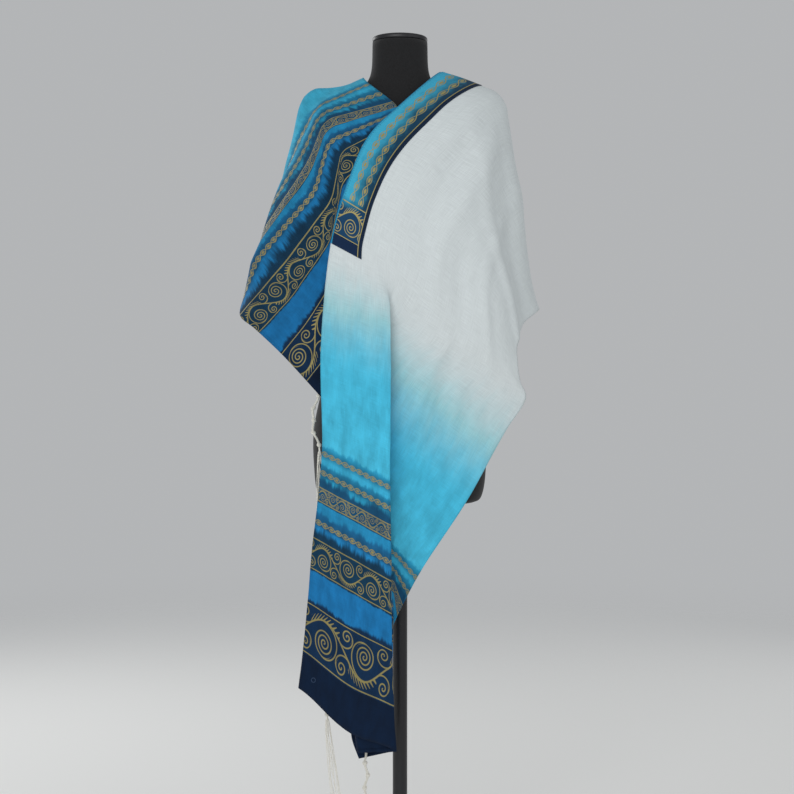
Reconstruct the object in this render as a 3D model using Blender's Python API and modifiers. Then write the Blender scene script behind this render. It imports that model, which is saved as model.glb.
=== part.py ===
"""Tallit prayer shawl worn on a limbless dress form.

Metres, +Z up. The origin is the centre of the stand's underside and the form faces -Y, so the
wearer's left is +X. The shawl is one flat rectangle of cloth. It starts at the corner that hangs
by the left ankle, climbs the front in one deep pleat, passes over the left shoulder, round the
back and over the right shoulder, and its short right end lies under the left one.
"""

from collections import namedtuple
from math import cos, pi, sin, tau

import bmesh
import bpy
import numpy as np

MM = 0.001

# The flat cloth. "run" is a distance along it from its left end, "across" one from its neck edge.
CLOTH_WIDTH = 0.560
CLOTH_LENGTH = 2.280
CLOTH_WALL = 0.0020
SEAM_GAP = 0.0010       # between stretches along the flat cloth: 0.3 mm or more once draped
LAYER_GAP = 0.0003      # between a piece and the panel it lies on
LEFT_SEAM = 1.360       # run where the front stretch meets the back one
RIGHT_SEAM = 1.800      # run where the back stretch meets the right end
PANEL_PITCH = 0.030     # mesh pitch along the hanging panel
BODY_PITCH = 0.020      # mesh pitch from the neckband on
FOLD_SAMPLES = 9        # places averaged to round a fold
PROBE = 0.001           # step for the cloth's slope
EDGE_SAG = 0.022        # the panel's lower edge sags this far, fading out over SAG_REACH
SAG_REACH = 0.300

# The neckband, sewn along the middle of the neck edge.
BAND_START = 0.880
BAND_END = CLOTH_LENGTH - BAND_START
BAND_INSET = 0.003
BAND_WIDTH = 0.072
BAND_WALL = 0.0012
BAND_CELLS = 4

# Mesh cells across the cloth. On the pleated panel they crowd at the folds.
FOLD_COUNT = 3
FOLD_CELLS = 3
SPAN_CELLS = 5
CROSS_CELLS = (FOLD_COUNT + 1) * SPAN_CELLS + FOLD_COUNT * FOLD_CELLS
PLEAT_END = 0.810       # run where the crowding starts to fade out

# One row for each section across the cloth, in metres along it. The five points, in
# millimetres, go from the neck edge to the hem: straight runs between them are the cloth's
# layers, and the three between are its folds. bend is how far apart in depth a fold keeps its
# two layers, and soft is half the width over which a fold is rounded.
Section = namedtuple("Section", "run neck_edge fold_1 fold_2 fold_3 hem bend soft")

SECTION_ROWS = (
    # The hanging panel, pleated in three layers.
    (0.00, (-194, -130, 457), (-4, -205, 354), (-83, -157, 341), (-12, -140, 338), (-79, -116, 319), 9, 12),
    (0.04, (-189, -130, 497), (-7, -205, 400), (-91, -156, 383), (-12, -140, 376), (-92, -116, 355), 9, 12),
    (0.12, (-180, -130, 581), (-11, -205, 497), (-102, -150, 467), (-12, -138, 455), (-88, -116, 409), 9, 12),
    (0.25, (-170, -130, 701), (-13, -200, 622), (-115, -141, 586), (-12, -135, 559), (-46, -116, 504), 9, 12),
    (0.45, (-149, -137, 905), (-16, -197, 841), (-115, -139, 794), (-8, -136, 711), (31, -122, 664), 9, 12),
    (0.65, (-151, -142, 1093), (-13, -190, 1036), (-90, -147, 978), (38, -138, 888), (132, -125, 821), 9, 15),
    # The pleat opens over the chest.
    (0.80, (-141, -147, 1232), (-14, -180, 1184), (-53, -158, 1148), (76, -147, 1054), (207, -115, 954), 10, 17),
    (0.86, (-134, -149, 1287), (-19, -167, 1227), (-10, -157, 1167), (110, -143, 1092), (243, -95, 1008), 8, 27),
    (0.92, (-125, -149, 1336), (-19, -160, 1274), (40, -153, 1218), (152, -135, 1132), (232, -90, 1045), 0, 35),
    (1.00, (-101, -145, 1416), (-6, -155, 1356), (92, -143, 1287), (192, -113, 1190), (228, -74, 1122), 0, 32),
    # Round the left shoulder, arm side and elbow.
    (1.12, (-54, -115, 1522), (45, -135, 1470), (150, -124, 1388), (220, -45, 1298), (282, 32, 1190), 0, 28),
    (1.20, (2, -80, 1582), (77, -100, 1566), (172, -75, 1550), (246, 5, 1406), (272, 90, 1182), 0, 30),
    (1.30, (80, -4, 1661), (131, -20, 1640), (212, 12, 1620), (241, 75, 1400), (197, 148, 1115), 0, 25),
    # The back, its neck edge slack.
    (1.40, (64, 85, 1635), (115, 72, 1635), (170, 85, 1580), (170, 140, 1350), (95, 163, 1085), 0, 30),
    (1.50, (24, 128, 1585), (57, 112, 1570), (80, 118, 1515), (75, 152, 1300), (-5, 168, 1070), 0, 35),
    (1.59, (-20, 128, 1587), (-45, 112, 1570), (-50, 118, 1510), (-60, 152, 1290), (-100, 163, 1078), 0, 35),
    (1.68, (-58, 85, 1632), (-98, 78, 1618), (-158, 78, 1590), (-183, 130, 1360), (-195, 142, 1105), 0, 30),
    (1.76, (-74, 25, 1655), (-122, 18, 1634), (-194, 15, 1630), (-243, 58, 1400), (-262, 105, 1150), 0, 25),
    # The right end, over the right shoulder and under the left front.
    (1.83, (-60, -36, 1630), (-166, -42, 1583), (-200, -30, 1524), (-246, 4, 1431), (-282, 60, 1210), 0, 20),
    (1.905, (-8, -74, 1581), (-142, -80, 1544), (-173, -74, 1462), (-277, -30, 1323), (-305, 30, 1204), 0, 18),
    (1.957, (-4, -84, 1563), (-137, -96, 1505), (-165, -84, 1408), (-283, -50, 1277), (-315, -12, 1197), 0, 16),
    (1.986, (8, -92, 1548), (-116, -106, 1485), (-134, -88, 1392), (-217, -84, 1280), (-315, -45, 1173), 0, 15),
    (2.03, (19, -96, 1532), (-116, -110, 1440), (-134, -94, 1329), (-213, -96, 1217), (-284, -76, 1146), 0, 15),
    (2.10, (62, -98, 1496), (-73, -118, 1389), (-121, -112, 1271), (-184, -116, 1169), (-239, -100, 1105), 0, 20),
    (2.28, (157, -88, 1425), (61, -115, 1293), (-16, -126, 1163), (-86, -127, 1073), (-142, -125, 1002), 0, 30),
)
SECTIONS = tuple(Section(*row) for row in SECTION_ROWS)

# Folds that the cloth's weight pulls from the shoulders to the hem at the back: ridges, or
# troughs where the height is negative. Each starts flat at its top and is deepest at the hem.
# Runs and distances across are in metres, half width and height in millimetres.
Fold = namedtuple("Fold", "top_run top_across hem_run half_width height")

FOLDS = (
    Fold(1.365, 0.20, 1.340, 28, -13),
    Fold(1.395, 0.12, 1.410, 27, 21),
    Fold(1.435, 0.16, 1.468, 24, -17),
    Fold(1.490, 0.20, 1.530, 27, 16),
    Fold(1.575, 0.24, 1.590, 26, -15),
    Fold(1.635, 0.18, 1.645, 25, 18),
    Fold(1.680, 0.16, 1.700, 23, -18),
    Fold(1.715, 0.12, 1.750, 25, 19),
    Fold(1.755, 0.20, 1.783, 22, -10),
)
FOLD_DROP = 0.45        # how much lower a ridge hangs, as a share of its height

# The corner tassels: where each hangs from, in millimetres, how far its foot drifts sideways and
# how far its knotted head bows out.
Tassel = namedtuple("Tassel", "name top drift bow")

TASSELS = (
    Tassel("tassel_front_neck", (-144, -128, 478), 28, 0),
    Tassel("tassel_front_hem", (-66, -131, 350), -4, 2),
    Tassel("tassel_right_neck", (150, -92, 1408), 0, 0),
    Tassel("tassel_right_hem", (-156, -112, 1026), 4, -13),
)
TASSEL_KNOTS = 5
TASSEL_HEAD = 0.118         # knotted length
TASSEL_LOOSE = 0.150        # strands below the last knot
TASSEL_CORD_RADIUS = 0.0030
TASSEL_KNOT_RADIUS = 0.0048
KNOT_HALF_LENGTH = 0.0045
STRAND_GAP = 0.0005
STRAND_STEPS = 3
STRAND_SPREAD = 2.6         # how much wider the strands stand at their ends

# The dress form. One row for each ring of its torso, in millimetres.
Ring = namedtuple("Ring", "height half_width half_depth forward")

TORSO_RINGS = (
    Ring(800, 120, 80, 0),
    Ring(803, 148, 100, 0),
    Ring(815, 163, 113, 0),
    Ring(860, 171, 119, 0),
    Ring(950, 172, 118, 0),
    Ring(1060, 148, 100, 0),
    Ring(1150, 126, 88, 0),
    Ring(1230, 132, 91, 2),
    Ring(1310, 147, 97, 5),
    Ring(1380, 157, 97, 5),
    Ring(1450, 164, 88, 2),
    Ring(1510, 168, 76, -2),
    Ring(1555, 158, 63, -6),
    Ring(1588, 126, 54, -8),
    Ring(1615, 88, 47, -9),
    Ring(1643, 66, 44, -10),
    Ring(1670, 57, 44, -10),
    Ring(1722, 55, 44, -8),
)
FORM_SIDES = 28
CAP_GAP = 0.0005
CAP_HEIGHT = 0.014
CAP_BEVEL = 0.006

# The stand.
POLE_RADIUS = 0.0145
COLLAR_RADIUS = 0.024
COLLAR_HEIGHT = 0.034
STAND_GAP = 0.0005
BASE_RADIUS = 0.190
BASE_HEIGHT = 0.022
BASE_BEVEL = 0.006

# Colours, linear.
CYAN = (0.075, 0.46, 0.69)
BAND_BLUE = (0.03, 0.22, 0.42)
OFF_WHITE = (0.72, 0.72, 0.66)
BLACK_JERSEY = (0.012, 0.012, 0.014)
BLACK_PAINT = (0.02, 0.02, 0.022)


# ---------------------------------------------------------------- scene helpers

def clear_scene():
    for existing in list(bpy.data.objects):
        bpy.data.objects.remove(existing, do_unlink=True)


def make_material(name, colour, roughness, metallic=0.0):
    material = bpy.data.materials.new(name)
    material.use_nodes = True
    shader = material.node_tree.nodes["Principled BSDF"]
    shader.inputs["Base Color"].default_value = (*colour, 1.0)
    shader.inputs["Roughness"].default_value = roughness
    shader.inputs["Metallic"].default_value = metallic
    material.diffuse_color = (*colour, 1.0)
    return material


def add_object(name, mesh_data, material, parent, collection):
    """Turns a bmesh into a named object in the part's collection."""
    mesh = bpy.data.meshes.new(name)
    mesh_data.to_mesh(mesh)
    mesh_data.free()
    piece = bpy.data.objects.new(name, mesh)
    piece.data.materials.append(material)
    piece.parent = parent
    collection.objects.link(piece)
    return piece


def add_wall(piece, thickness):
    wall = piece.modifiers.new("wall", "SOLIDIFY")
    wall.thickness = thickness
    wall.offset = 0.0
    wall.use_rim = True


def add_bevel(piece, width, segments, angle=pi / 6):
    bevel = piece.modifiers.new("edge", "BEVEL")
    bevel.width = width
    bevel.segments = segments
    bevel.limit_method = "ANGLE"
    bevel.angle_limit = angle


# ---------------------------------------------------------------- the draped cloth

def layer_ends(section):
    """A section's points with each fold doubled: where one layer ends and the next begins."""
    half_bend = np.array((0.0, section.bend / 2, 0.0))
    ends = [section.neck_edge]
    for fold in (section.fold_1, section.fold_2, section.fold_3):
        ends += [fold - half_bend, fold + half_bend]
    ends.append(section.hem)
    return ends


SECTION_RUNS = np.array([section.run for section in SECTIONS])
SECTION_POINTS = np.array([layer_ends(section) for section in SECTIONS]) * MM
SECTION_SOFT = np.array([section.soft for section in SECTIONS]) * MM


def section_slopes():
    """Slope of every section point along the run, weighted from its two neighbours."""
    gaps = np.diff(SECTION_RUNS)[:, None, None]
    chords = np.diff(SECTION_POINTS, axis=0) / gaps
    slopes = np.empty_like(SECTION_POINTS)
    slopes[0] = chords[0]
    slopes[-1] = chords[-1]
    slopes[1:-1] = (chords[:-1] * gaps[1:] + chords[1:] * gaps[:-1]) / (gaps[1:] + gaps[:-1])
    return slopes


SECTION_SLOPES = section_slopes()


def section_at(run):
    """The layer ends of the section at a run, on smooth curves through the table's rows."""
    last = len(SECTION_RUNS) - 2
    row = int(np.clip(np.searchsorted(SECTION_RUNS, run, side="right") - 1, 0, last))
    gap = SECTION_RUNS[row + 1] - SECTION_RUNS[row]
    part = (run - SECTION_RUNS[row]) / gap
    start, end = SECTION_POINTS[row], SECTION_POINTS[row + 1]
    leave, arrive = SECTION_SLOPES[row] * gap, SECTION_SLOPES[row + 1] * gap
    return ((1 + 2 * part) * (1 - part) ** 2 * start + part * (1 - part) ** 2 * leave
            + part ** 2 * (3 - 2 * part) * end + part ** 2 * (part - 1) * arrive)


def places_across(points):
    """Distances across the flat cloth of a section's layer ends."""
    lengths = np.linalg.norm(np.diff(points, axis=0), axis=1)
    places = np.concatenate(([0.0], np.cumsum(lengths)))
    return places * CLOTH_WIDTH / places[-1]


def on_polyline(places, points, across):
    """Points of a section's straight layers, carried on past both edges of the cloth."""
    inside = np.clip(across, 0.0, CLOTH_WIDTH)
    reached = np.stack([np.interp(inside, places, points[:, axis]) for axis in range(3)], axis=-1)
    first_way = (points[1] - points[0]) / (places[1] - places[0])
    last_way = (points[-1] - points[-2]) / (places[-1] - places[-2])
    before = np.minimum(across, 0.0)[..., None] * first_way
    beyond = np.maximum(across - CLOTH_WIDTH, 0.0)[..., None] * last_way
    return reached + before + beyond


def edge_sag(run, across, first_fold):
    """How far the hanging panel's front layer sags between its corner and its first fold."""
    fade = max(0.0, 1.0 - run / SAG_REACH) ** 2
    return EDGE_SAG * fade * np.sin(pi * np.clip(across / first_fold, 0.0, 1.0)) ** 2


def fold_lift(run, across):
    """How far the back's folds stand out of the plain drape."""
    lift = np.zeros_like(across)
    for fold in FOLDS:
        part = np.clip((across - fold.top_across) / (CLOTH_WIDTH - fold.top_across), 0.0, 1.0)
        middle = fold.top_run + (fold.hem_run - fold.top_run) * part
        aside = (run - middle) / (fold.half_width * MM)
        lift += fold.height * MM * part ** 2 * (3 - 2 * part) * np.exp(-aside ** 2)
    return lift


def plain_row(run, across):
    """Points of the drape without its folds, at one run and an array of distances across."""
    points = section_at(run)
    places = places_across(points)
    soft = np.interp(run, SECTION_RUNS, SECTION_SOFT)
    window = np.sin(np.linspace(-1.0, 1.0, FOLD_SAMPLES) * pi / 2) * soft
    row = np.mean([on_polyline(places, points, across + shift) for shift in window], axis=0)
    row[:, 2] -= edge_sag(run, across, places[1])
    return row


def normals_of(surface, run, across):
    """Unit vectors out of the shown side of a surface given as rows."""
    along = surface(run + PROBE, across) - surface(run - PROBE, across)
    sideways = surface(run, across + PROBE) - surface(run, across - PROBE)
    normals = np.cross(sideways, along)
    return normals / np.linalg.norm(normals, axis=1, keepdims=True)


def cloth_row(run, across):
    """Points of the cloth's middle surface at one run and an array of distances across."""
    lift = fold_lift(run, across)
    row = plain_row(run, across) + lift[:, None] * normals_of(plain_row, run, across)
    row[:, 2] -= FOLD_DROP * lift
    return row


def crowded_columns(run):
    """Distances across, with narrow cells at each fold and wide ones between."""
    points = section_at(run)
    places = places_across(points)
    folds = (places[1:-1:2] + places[2:-1:2]) / 2
    soft = np.interp(run, SECTION_RUNS, SECTION_SOFT)
    stops = [0.0]
    for fold in folds:
        stops += [fold - soft, fold + soft]
    stops.append(CLOTH_WIDTH)
    columns = [0.0]
    for index, (low, high) in enumerate(zip(stops[:-1], stops[1:])):
        cells = SPAN_CELLS if index % 2 == 0 else FOLD_CELLS
        columns.extend(np.linspace(low, high, cells + 1)[1:])
    return np.array(columns)


def even_columns():
    """Distances across, with the neckband's own columns first and even cells after them."""
    band = np.linspace(BAND_INSET, BAND_INSET + BAND_WIDTH, BAND_CELLS + 1)
    rest = np.linspace(band[-1], CLOTH_WIDTH, CROSS_CELLS - BAND_CELLS)
    return np.concatenate(([0.0], band, rest[1:]))


def columns_at(run):
    blend = float(np.clip((run - PLEAT_END) / (BAND_START - PLEAT_END), 0.0, 1.0))
    if blend == 1.0:
        return even_columns()
    return (1.0 - blend) * crowded_columns(run) + blend * even_columns()


def run_stations(start, end):
    """Mesh rows between two runs: wide apart on the panel, closer from the neckband on."""
    panel_rows = np.arange(0.0, BAND_START - PANEL_PITCH / 2, PANEL_PITCH)
    body_rows = np.arange(BAND_START, CLOTH_LENGTH + BODY_PITCH / 2, BODY_PITCH)
    rows = np.concatenate((panel_rows, body_rows))
    inner = rows[(rows > start + BODY_PITCH / 2) & (rows < end - BODY_PITCH / 2)]
    return np.concatenate(([start], inner, [end]))


def grid_bmesh(rows):
    """A quad grid whose vertices are taken from rows of points."""
    down, over = len(rows), len(rows[0])
    mesh_data = bmesh.new()
    bmesh.ops.create_grid(mesh_data, x_segments=over - 1, y_segments=down - 1, size=1.0)
    for vertex in mesh_data.verts:
        column = round((vertex.co.x + 1.0) / 2.0 * (over - 1))
        row = round((vertex.co.y + 1.0) / 2.0 * (down - 1))
        vertex.co = rows[row][column]
    return mesh_data


def make_stretch(name, start, end, material, parent, collection):
    """One stretch of the shawl, as a thin closed wall."""
    rows = [cloth_row(run, columns_at(run)) for run in run_stations(start, end)]
    piece = add_object(name, grid_bmesh(rows), material, parent, collection)
    add_wall(piece, CLOTH_WALL)
    return piece


def make_neckband(material, parent, collection):
    """The neckband, from the cloth's own points moved out."""
    lift = CLOTH_WALL / 2 + LAYER_GAP + BAND_WALL / 2
    columns = even_columns()[1:BAND_CELLS + 2]
    rows = []
    for run in run_stations(BAND_START, BAND_END):
        rows.append(cloth_row(run, columns) + lift * normals_of(cloth_row, run, columns))
    piece = add_object("neckband", grid_bmesh(rows), material, parent, collection)
    add_wall(piece, BAND_WALL)
    return piece


# ---------------------------------------------------------------- tassels

def tassel_profile():
    """Distance down the knotted head and its radius there."""
    pitch = TASSEL_HEAD / TASSEL_KNOTS
    profile = [(0.0, TASSEL_CORD_RADIUS)]
    for knot in range(TASSEL_KNOTS):
        middle = (knot + 0.5) * pitch
        profile.append((middle - KNOT_HALF_LENGTH, TASSEL_CORD_RADIUS))
        profile.append((middle, TASSEL_KNOT_RADIUS))
        profile.append((middle + KNOT_HALF_LENGTH, TASSEL_CORD_RADIUS))
    profile.append((TASSEL_HEAD, TASSEL_CORD_RADIUS))
    return profile


def square_to_round(x, y):
    """Moves a point of the square from -1 to 1 to the disc of radius 1."""
    return x * (1 - y * y / 2) ** 0.5, y * (1 - x * x / 2) ** 0.5


def make_tassel(tassel, material, parent, collection):
    """A knotted head with eight loose strands fused to its lower face."""
    length = TASSEL_HEAD + TASSEL_LOOSE
    mesh_data = bmesh.new()
    bmesh.ops.create_grid(mesh_data, x_segments=3, y_segments=3, size=1.0)
    for vertex in mesh_data.verts:
        round_x, round_y = square_to_round(vertex.co.x, vertex.co.y)
        vertex.co = (round_x * TASSEL_CORD_RADIUS, round_y * TASSEL_CORD_RADIUS, 0.0)

    # The head grows down from the disc, ring by ring.
    tip = [*mesh_data.verts, *mesh_data.edges, *mesh_data.faces]
    profile = tassel_profile()
    for (_, above), (depth, radius) in zip(profile[:-1], profile[1:]):
        tip = bmesh.ops.extrude_face_region(mesh_data, geom=tip)["geom"]
        for vertex in (item for item in tip if isinstance(item, bmesh.types.BMVert)):
            vertex.co.x *= radius / above
            vertex.co.y *= radius / above
            vertex.co.z = -depth
    lower_faces = [item for item in tip if isinstance(item, bmesh.types.BMFace)]

    # The eight outer cells of the lower face become strands.
    roots = [face for face in lower_faces if face.calc_center_median().xy.length > TASSEL_CORD_RADIUS / 4]
    bmesh.ops.inset_individual(mesh_data, faces=roots, thickness=STRAND_GAP)
    for step in range(1, STRAND_STEPS + 1):
        grown = bmesh.ops.extrude_discrete_faces(mesh_data, faces=roots)
        roots = grown["faces"]
        depth = TASSEL_HEAD + TASSEL_LOOSE * step / STRAND_STEPS
        widen = (1 + STRAND_SPREAD * step / STRAND_STEPS) / (1 + STRAND_SPREAD * (step - 1) / STRAND_STEPS)
        for face in roots:
            shift = face.calc_center_median() * (widen - 1)
            for vertex in face.verts:
                vertex.co.x += shift.x
                vertex.co.y += shift.y
                vertex.co.z = -depth
    bmesh.ops.recalc_face_normals(mesh_data, faces=mesh_data.faces)

    # It hangs from its corner, its head bows out and its foot drifts a little to one side.
    for vertex in mesh_data.verts:
        drift = tassel.drift * MM * (-vertex.co.z / length) ** 1.5
        bow = tassel.bow * MM * sin(pi * min(1.0, -vertex.co.z / TASSEL_HEAD)) ** 2
        vertex.co.x += tassel.top[0] * MM + drift + bow
        vertex.co.y += tassel.top[1] * MM
        vertex.co.z += tassel.top[2] * MM
    return add_object(tassel.name, mesh_data, material, parent, collection)


# ---------------------------------------------------------------- dress form and stand

def make_loft(name, rings, sides, material, parent, collection):
    """A closed body through flat elliptical rings, from the lowest up."""
    mesh_data = bmesh.new()
    loops = []
    for ring in rings:
        loop = []
        for side in range(sides):
            angle = tau * side / sides
            x = ring.half_width * MM * cos(angle)
            y = ring.half_depth * MM * sin(angle) - ring.forward * MM
            loop.append(mesh_data.verts.new((x, y, ring.height * MM)))
        loops.append(loop)
    for lower, upper in zip(loops[:-1], loops[1:]):
        for side in range(sides):
            after = (side + 1) % sides
            mesh_data.faces.new((lower[side], lower[after], upper[after], upper[side]))
    mesh_data.faces.new(reversed(loops[0]))
    mesh_data.faces.new(loops[-1])
    return add_object(name, mesh_data, material, parent, collection)


def make_disc(name, radius, bottom, top, sides, material, parent, collection):
    """An upright round bar or disc between two heights."""
    mesh_data = bmesh.new()
    bmesh.ops.create_cone(mesh_data, cap_ends=True, segments=sides, radius1=radius,
                          radius2=radius, depth=top - bottom)
    bmesh.ops.translate(mesh_data, verts=mesh_data.verts, vec=(0.0, 0.0, (top + bottom) / 2))
    return add_object(name, mesh_data, material, parent, collection)


def make_form(jersey, paint, parent, collection):
    """The limbless torso, its neck cap, and the pole, collar and round base it stands on."""
    make_loft("form_torso", TORSO_RINGS, FORM_SIDES, jersey, parent, collection)

    neck = TORSO_RINGS[-1]
    cap_bottom = neck.height + CAP_GAP / MM
    cap_rings = (neck._replace(height=cap_bottom), neck._replace(height=cap_bottom + CAP_HEIGHT / MM))
    cap = make_loft("neck_cap", cap_rings, FORM_SIDES, paint, parent, collection)
    add_bevel(cap, CAP_BEVEL, 2)

    torso_bottom = TORSO_RINGS[0].height * MM
    pole_top = torso_bottom - STAND_GAP
    collar_top = BASE_HEIGHT + STAND_GAP + COLLAR_HEIGHT
    base = make_disc("stand_base", BASE_RADIUS, 0.0, BASE_HEIGHT, 48, paint, parent, collection)
    add_bevel(base, BASE_BEVEL, 2)
    make_disc("stand_collar", COLLAR_RADIUS, BASE_HEIGHT + STAND_GAP, collar_top, 24,
              paint, parent, collection)
    make_disc("stand_pole", POLE_RADIUS, collar_top + STAND_GAP, pole_top, 24,
              paint, parent, collection)


# ---------------------------------------------------------------- the part

def build():
    clear_scene()
    collection = bpy.data.collections.new("tallit_on_dress_form")
    bpy.context.scene.collection.children.link(collection)
    root = bpy.data.objects.new("tallit_on_dress_form", None)
    collection.objects.link(root)

    dyed_cloth = make_material("dyed_cloth", CYAN, 0.85)
    white_cloth = make_material("white_cloth", OFF_WHITE, 0.85)
    band_cloth = make_material("band_cloth", BAND_BLUE, 0.8)
    cord = make_material("tassel_cord", OFF_WHITE, 0.9)
    jersey = make_material("black_jersey", BLACK_JERSEY, 0.95)
    paint = make_material("black_paint", BLACK_PAINT, 0.45)

    front_end = LEFT_SEAM - SEAM_GAP / 2
    back_start = LEFT_SEAM + SEAM_GAP / 2
    back_end = RIGHT_SEAM - SEAM_GAP / 2
    right_start = RIGHT_SEAM + SEAM_GAP / 2
    make_stretch("shawl_front", 0.0, front_end, dyed_cloth, root, collection)
    make_stretch("shawl_back", back_start, back_end, white_cloth, root, collection)
    make_stretch("shawl_right_end", right_start, CLOTH_LENGTH, dyed_cloth, root, collection)
    make_neckband(band_cloth, root, collection)
    for tassel in TASSELS:
        make_tassel(tassel, cord, root, collection)
    make_form(jersey, paint, root, collection)


build()
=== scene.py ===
# %% [markdown]
# # A tallit prayer shawl on a dress form
#
# The object is one long rectangle of light cloth, dyed at both ends, with gold lines, a neckband
# and four knotted corner tassels. It hangs on a black limbless dress form on a round stand.
# Everything here is in metres, +Z is up, and the form faces -Y.

from collections import namedtuple
from math import cos, pi, radians, sin, tau

import bmesh
import bpy
import numpy as np
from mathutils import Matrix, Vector


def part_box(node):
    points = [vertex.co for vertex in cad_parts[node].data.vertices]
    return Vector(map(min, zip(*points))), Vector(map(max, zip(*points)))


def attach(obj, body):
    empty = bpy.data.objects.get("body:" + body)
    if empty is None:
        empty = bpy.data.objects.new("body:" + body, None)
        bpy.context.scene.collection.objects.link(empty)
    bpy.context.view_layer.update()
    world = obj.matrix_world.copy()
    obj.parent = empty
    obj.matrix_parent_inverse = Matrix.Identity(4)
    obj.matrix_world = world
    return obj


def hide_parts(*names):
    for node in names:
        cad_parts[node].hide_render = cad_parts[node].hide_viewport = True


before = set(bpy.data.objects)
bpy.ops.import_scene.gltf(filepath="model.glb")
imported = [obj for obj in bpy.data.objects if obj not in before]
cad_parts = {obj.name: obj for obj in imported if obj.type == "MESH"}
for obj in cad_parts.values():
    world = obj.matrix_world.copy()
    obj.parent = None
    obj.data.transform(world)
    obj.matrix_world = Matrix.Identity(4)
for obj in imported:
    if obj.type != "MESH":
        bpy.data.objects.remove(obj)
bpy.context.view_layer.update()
MM = 0.001
print("frame nodes:", sorted(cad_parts))

# %% [markdown]
# ## Camera, light and floor
#
# The camera looks level along +Y from 2.8 m, far enough to keep a standing form's proportions
# true. Four large soft lamps stand in for a small studio: a key from the front, a little to the
# left, so that what turns to the side falls off in tone, a weak fill from the right, and two
# behind, which part the dark form from the backdrop.

# %% Objects go into the scene
def add_to_scene(name, data):
    """A new object with this name and data, in the scene."""
    made = bpy.data.objects.new(name, data)
    bpy.context.scene.collection.objects.link(made)
    return made


def piece_from(body, name):
    """A new object with the mesh of a finished bmesh, which is then freed."""
    mesh = bpy.data.meshes.new(name)
    body.to_mesh(mesh)
    body.free()
    return add_to_scene(name, mesh)


# %% Camera
VIEW_WIDTH = 1.588              # at the form, in metres
CAMERA_DISTANCE = 2.8
CAMERA_HEIGHT = 1.012
CAMERA_ACROSS = -0.006
SENSOR = 36.0                   # width in millimetres

camera_data = bpy.data.cameras.new("camera")
camera_data.sensor_width = SENSOR
camera_data.lens = SENSOR * CAMERA_DISTANCE / VIEW_WIDTH
camera = add_to_scene("camera", camera_data)
camera.location = (CAMERA_ACROSS, -CAMERA_DISTANCE, CAMERA_HEIGHT)
camera.rotation_euler = (radians(90), 0, 0)
bpy.context.scene.camera = camera
print(f"lens {camera_data.lens:.1f} mm")

# %% Soft lamps
Lamp = namedtuple("Lamp", "name place side power")

LAMPS = (
    Lamp("key", (-0.8, -3.2, 1.8), 1.8, 42.0),
    Lamp("fill", (2.3, -2.2, 1.9), 1.8, 8.0),
    Lamp("back_left", (-2.5, 2.1, 2.3), 1.2, 34.0),
    Lamp("back_right", (2.2, 2.6, 1.7), 1.6, 8.0),
)
LAMP_TARGET = Vector((0.0, 0.0, 1.1))

for lamp in LAMPS:
    lamp_data = bpy.data.lights.new(lamp.name, "AREA")
    lamp_data.shape = "SQUARE"
    lamp_data.size = lamp.side
    lamp_data.energy = lamp.power
    lamp_object = add_to_scene(lamp.name, lamp_data)
    lamp_object.location = lamp.place
    towards = LAMP_TARGET - Vector(lamp.place)
    lamp_object.rotation_euler = towards.to_track_quat("-Z", "Y").to_euler()
print("lamps:", [lamp.name for lamp in LAMPS])

# %% [markdown]
# ## Colours and nodes
#
# Colours are written as the hex values of a colour picker, and one function turns them into the
# linear numbers that shaders work in. One small function adds a shader node with its settings
# and its inputs, which may be numbers or the outputs of other nodes. A kind such as "Math SINE"
# or "Mix RGBA" names the node and its mode.

# %% Two helpers for materials
def linear(code):
    """A six-figure hex colour as linear red, green, blue and alpha."""
    parts = [int(code[at:at + 2], 16) / 255 for at in (0, 2, 4)]
    return (*[p / 12.92 if p <= 0.04045 else ((p + 0.055) / 1.055) ** 2.4 for p in parts], 1.0)


MODE_SETTING = {"Math": "operation", "VectorMath": "operation", "Mix": "data_type"}


def add_node(tree, kind, *inputs, output=0, **settings):
    """Adds a shader node, sets its settings and inputs in order, and returns one output."""
    kind, _, mode = kind.partition(" ")
    made = tree.nodes.new("ShaderNode" + kind)
    if mode:
        settings[MODE_SETTING[kind]] = mode
    for key, value in settings.items():
        setattr(made, key, value)
    for socket, value in zip([s for s in made.inputs if s.enabled], inputs):
        if value is None:
            continue
        if isinstance(value, bpy.types.NodeSocket):
            tree.links.new(value, socket)
        else:
            socket.default_value = value
    return [s for s in made.outputs if s.enabled][output]


def new_material(name, **values):
    """A Principled material with some of its inputs set. Returns it, its tree and its shader."""
    material = bpy.data.materials.new(name)
    material.use_nodes = True
    shader = material.node_tree.nodes["Principled BSDF"]
    for key, value in values.items():
        shader.inputs[key.replace("_", " ").title().replace("Ior", "IOR")].default_value = value
    return material, material.node_tree, shader


print("a middle grey, 808080, is", round(linear("808080")[0], 3), "in linear light")

# %% [markdown]
# The floor is one pale matt sheet. Its paint thins out with the distance from the stand, so it
# melts into the backdrop light without a horizon, whichever side the camera stands on.

# %% Floor and backdrop light
FLOOR_RADIUS = 6.0
FLOOR_SOLID = 1.3               # full paint out to here, in metres from the stand
FLOOR_GONE = 5.5                # none from here
BACKDROP_STRENGTH = 0.66

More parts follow.
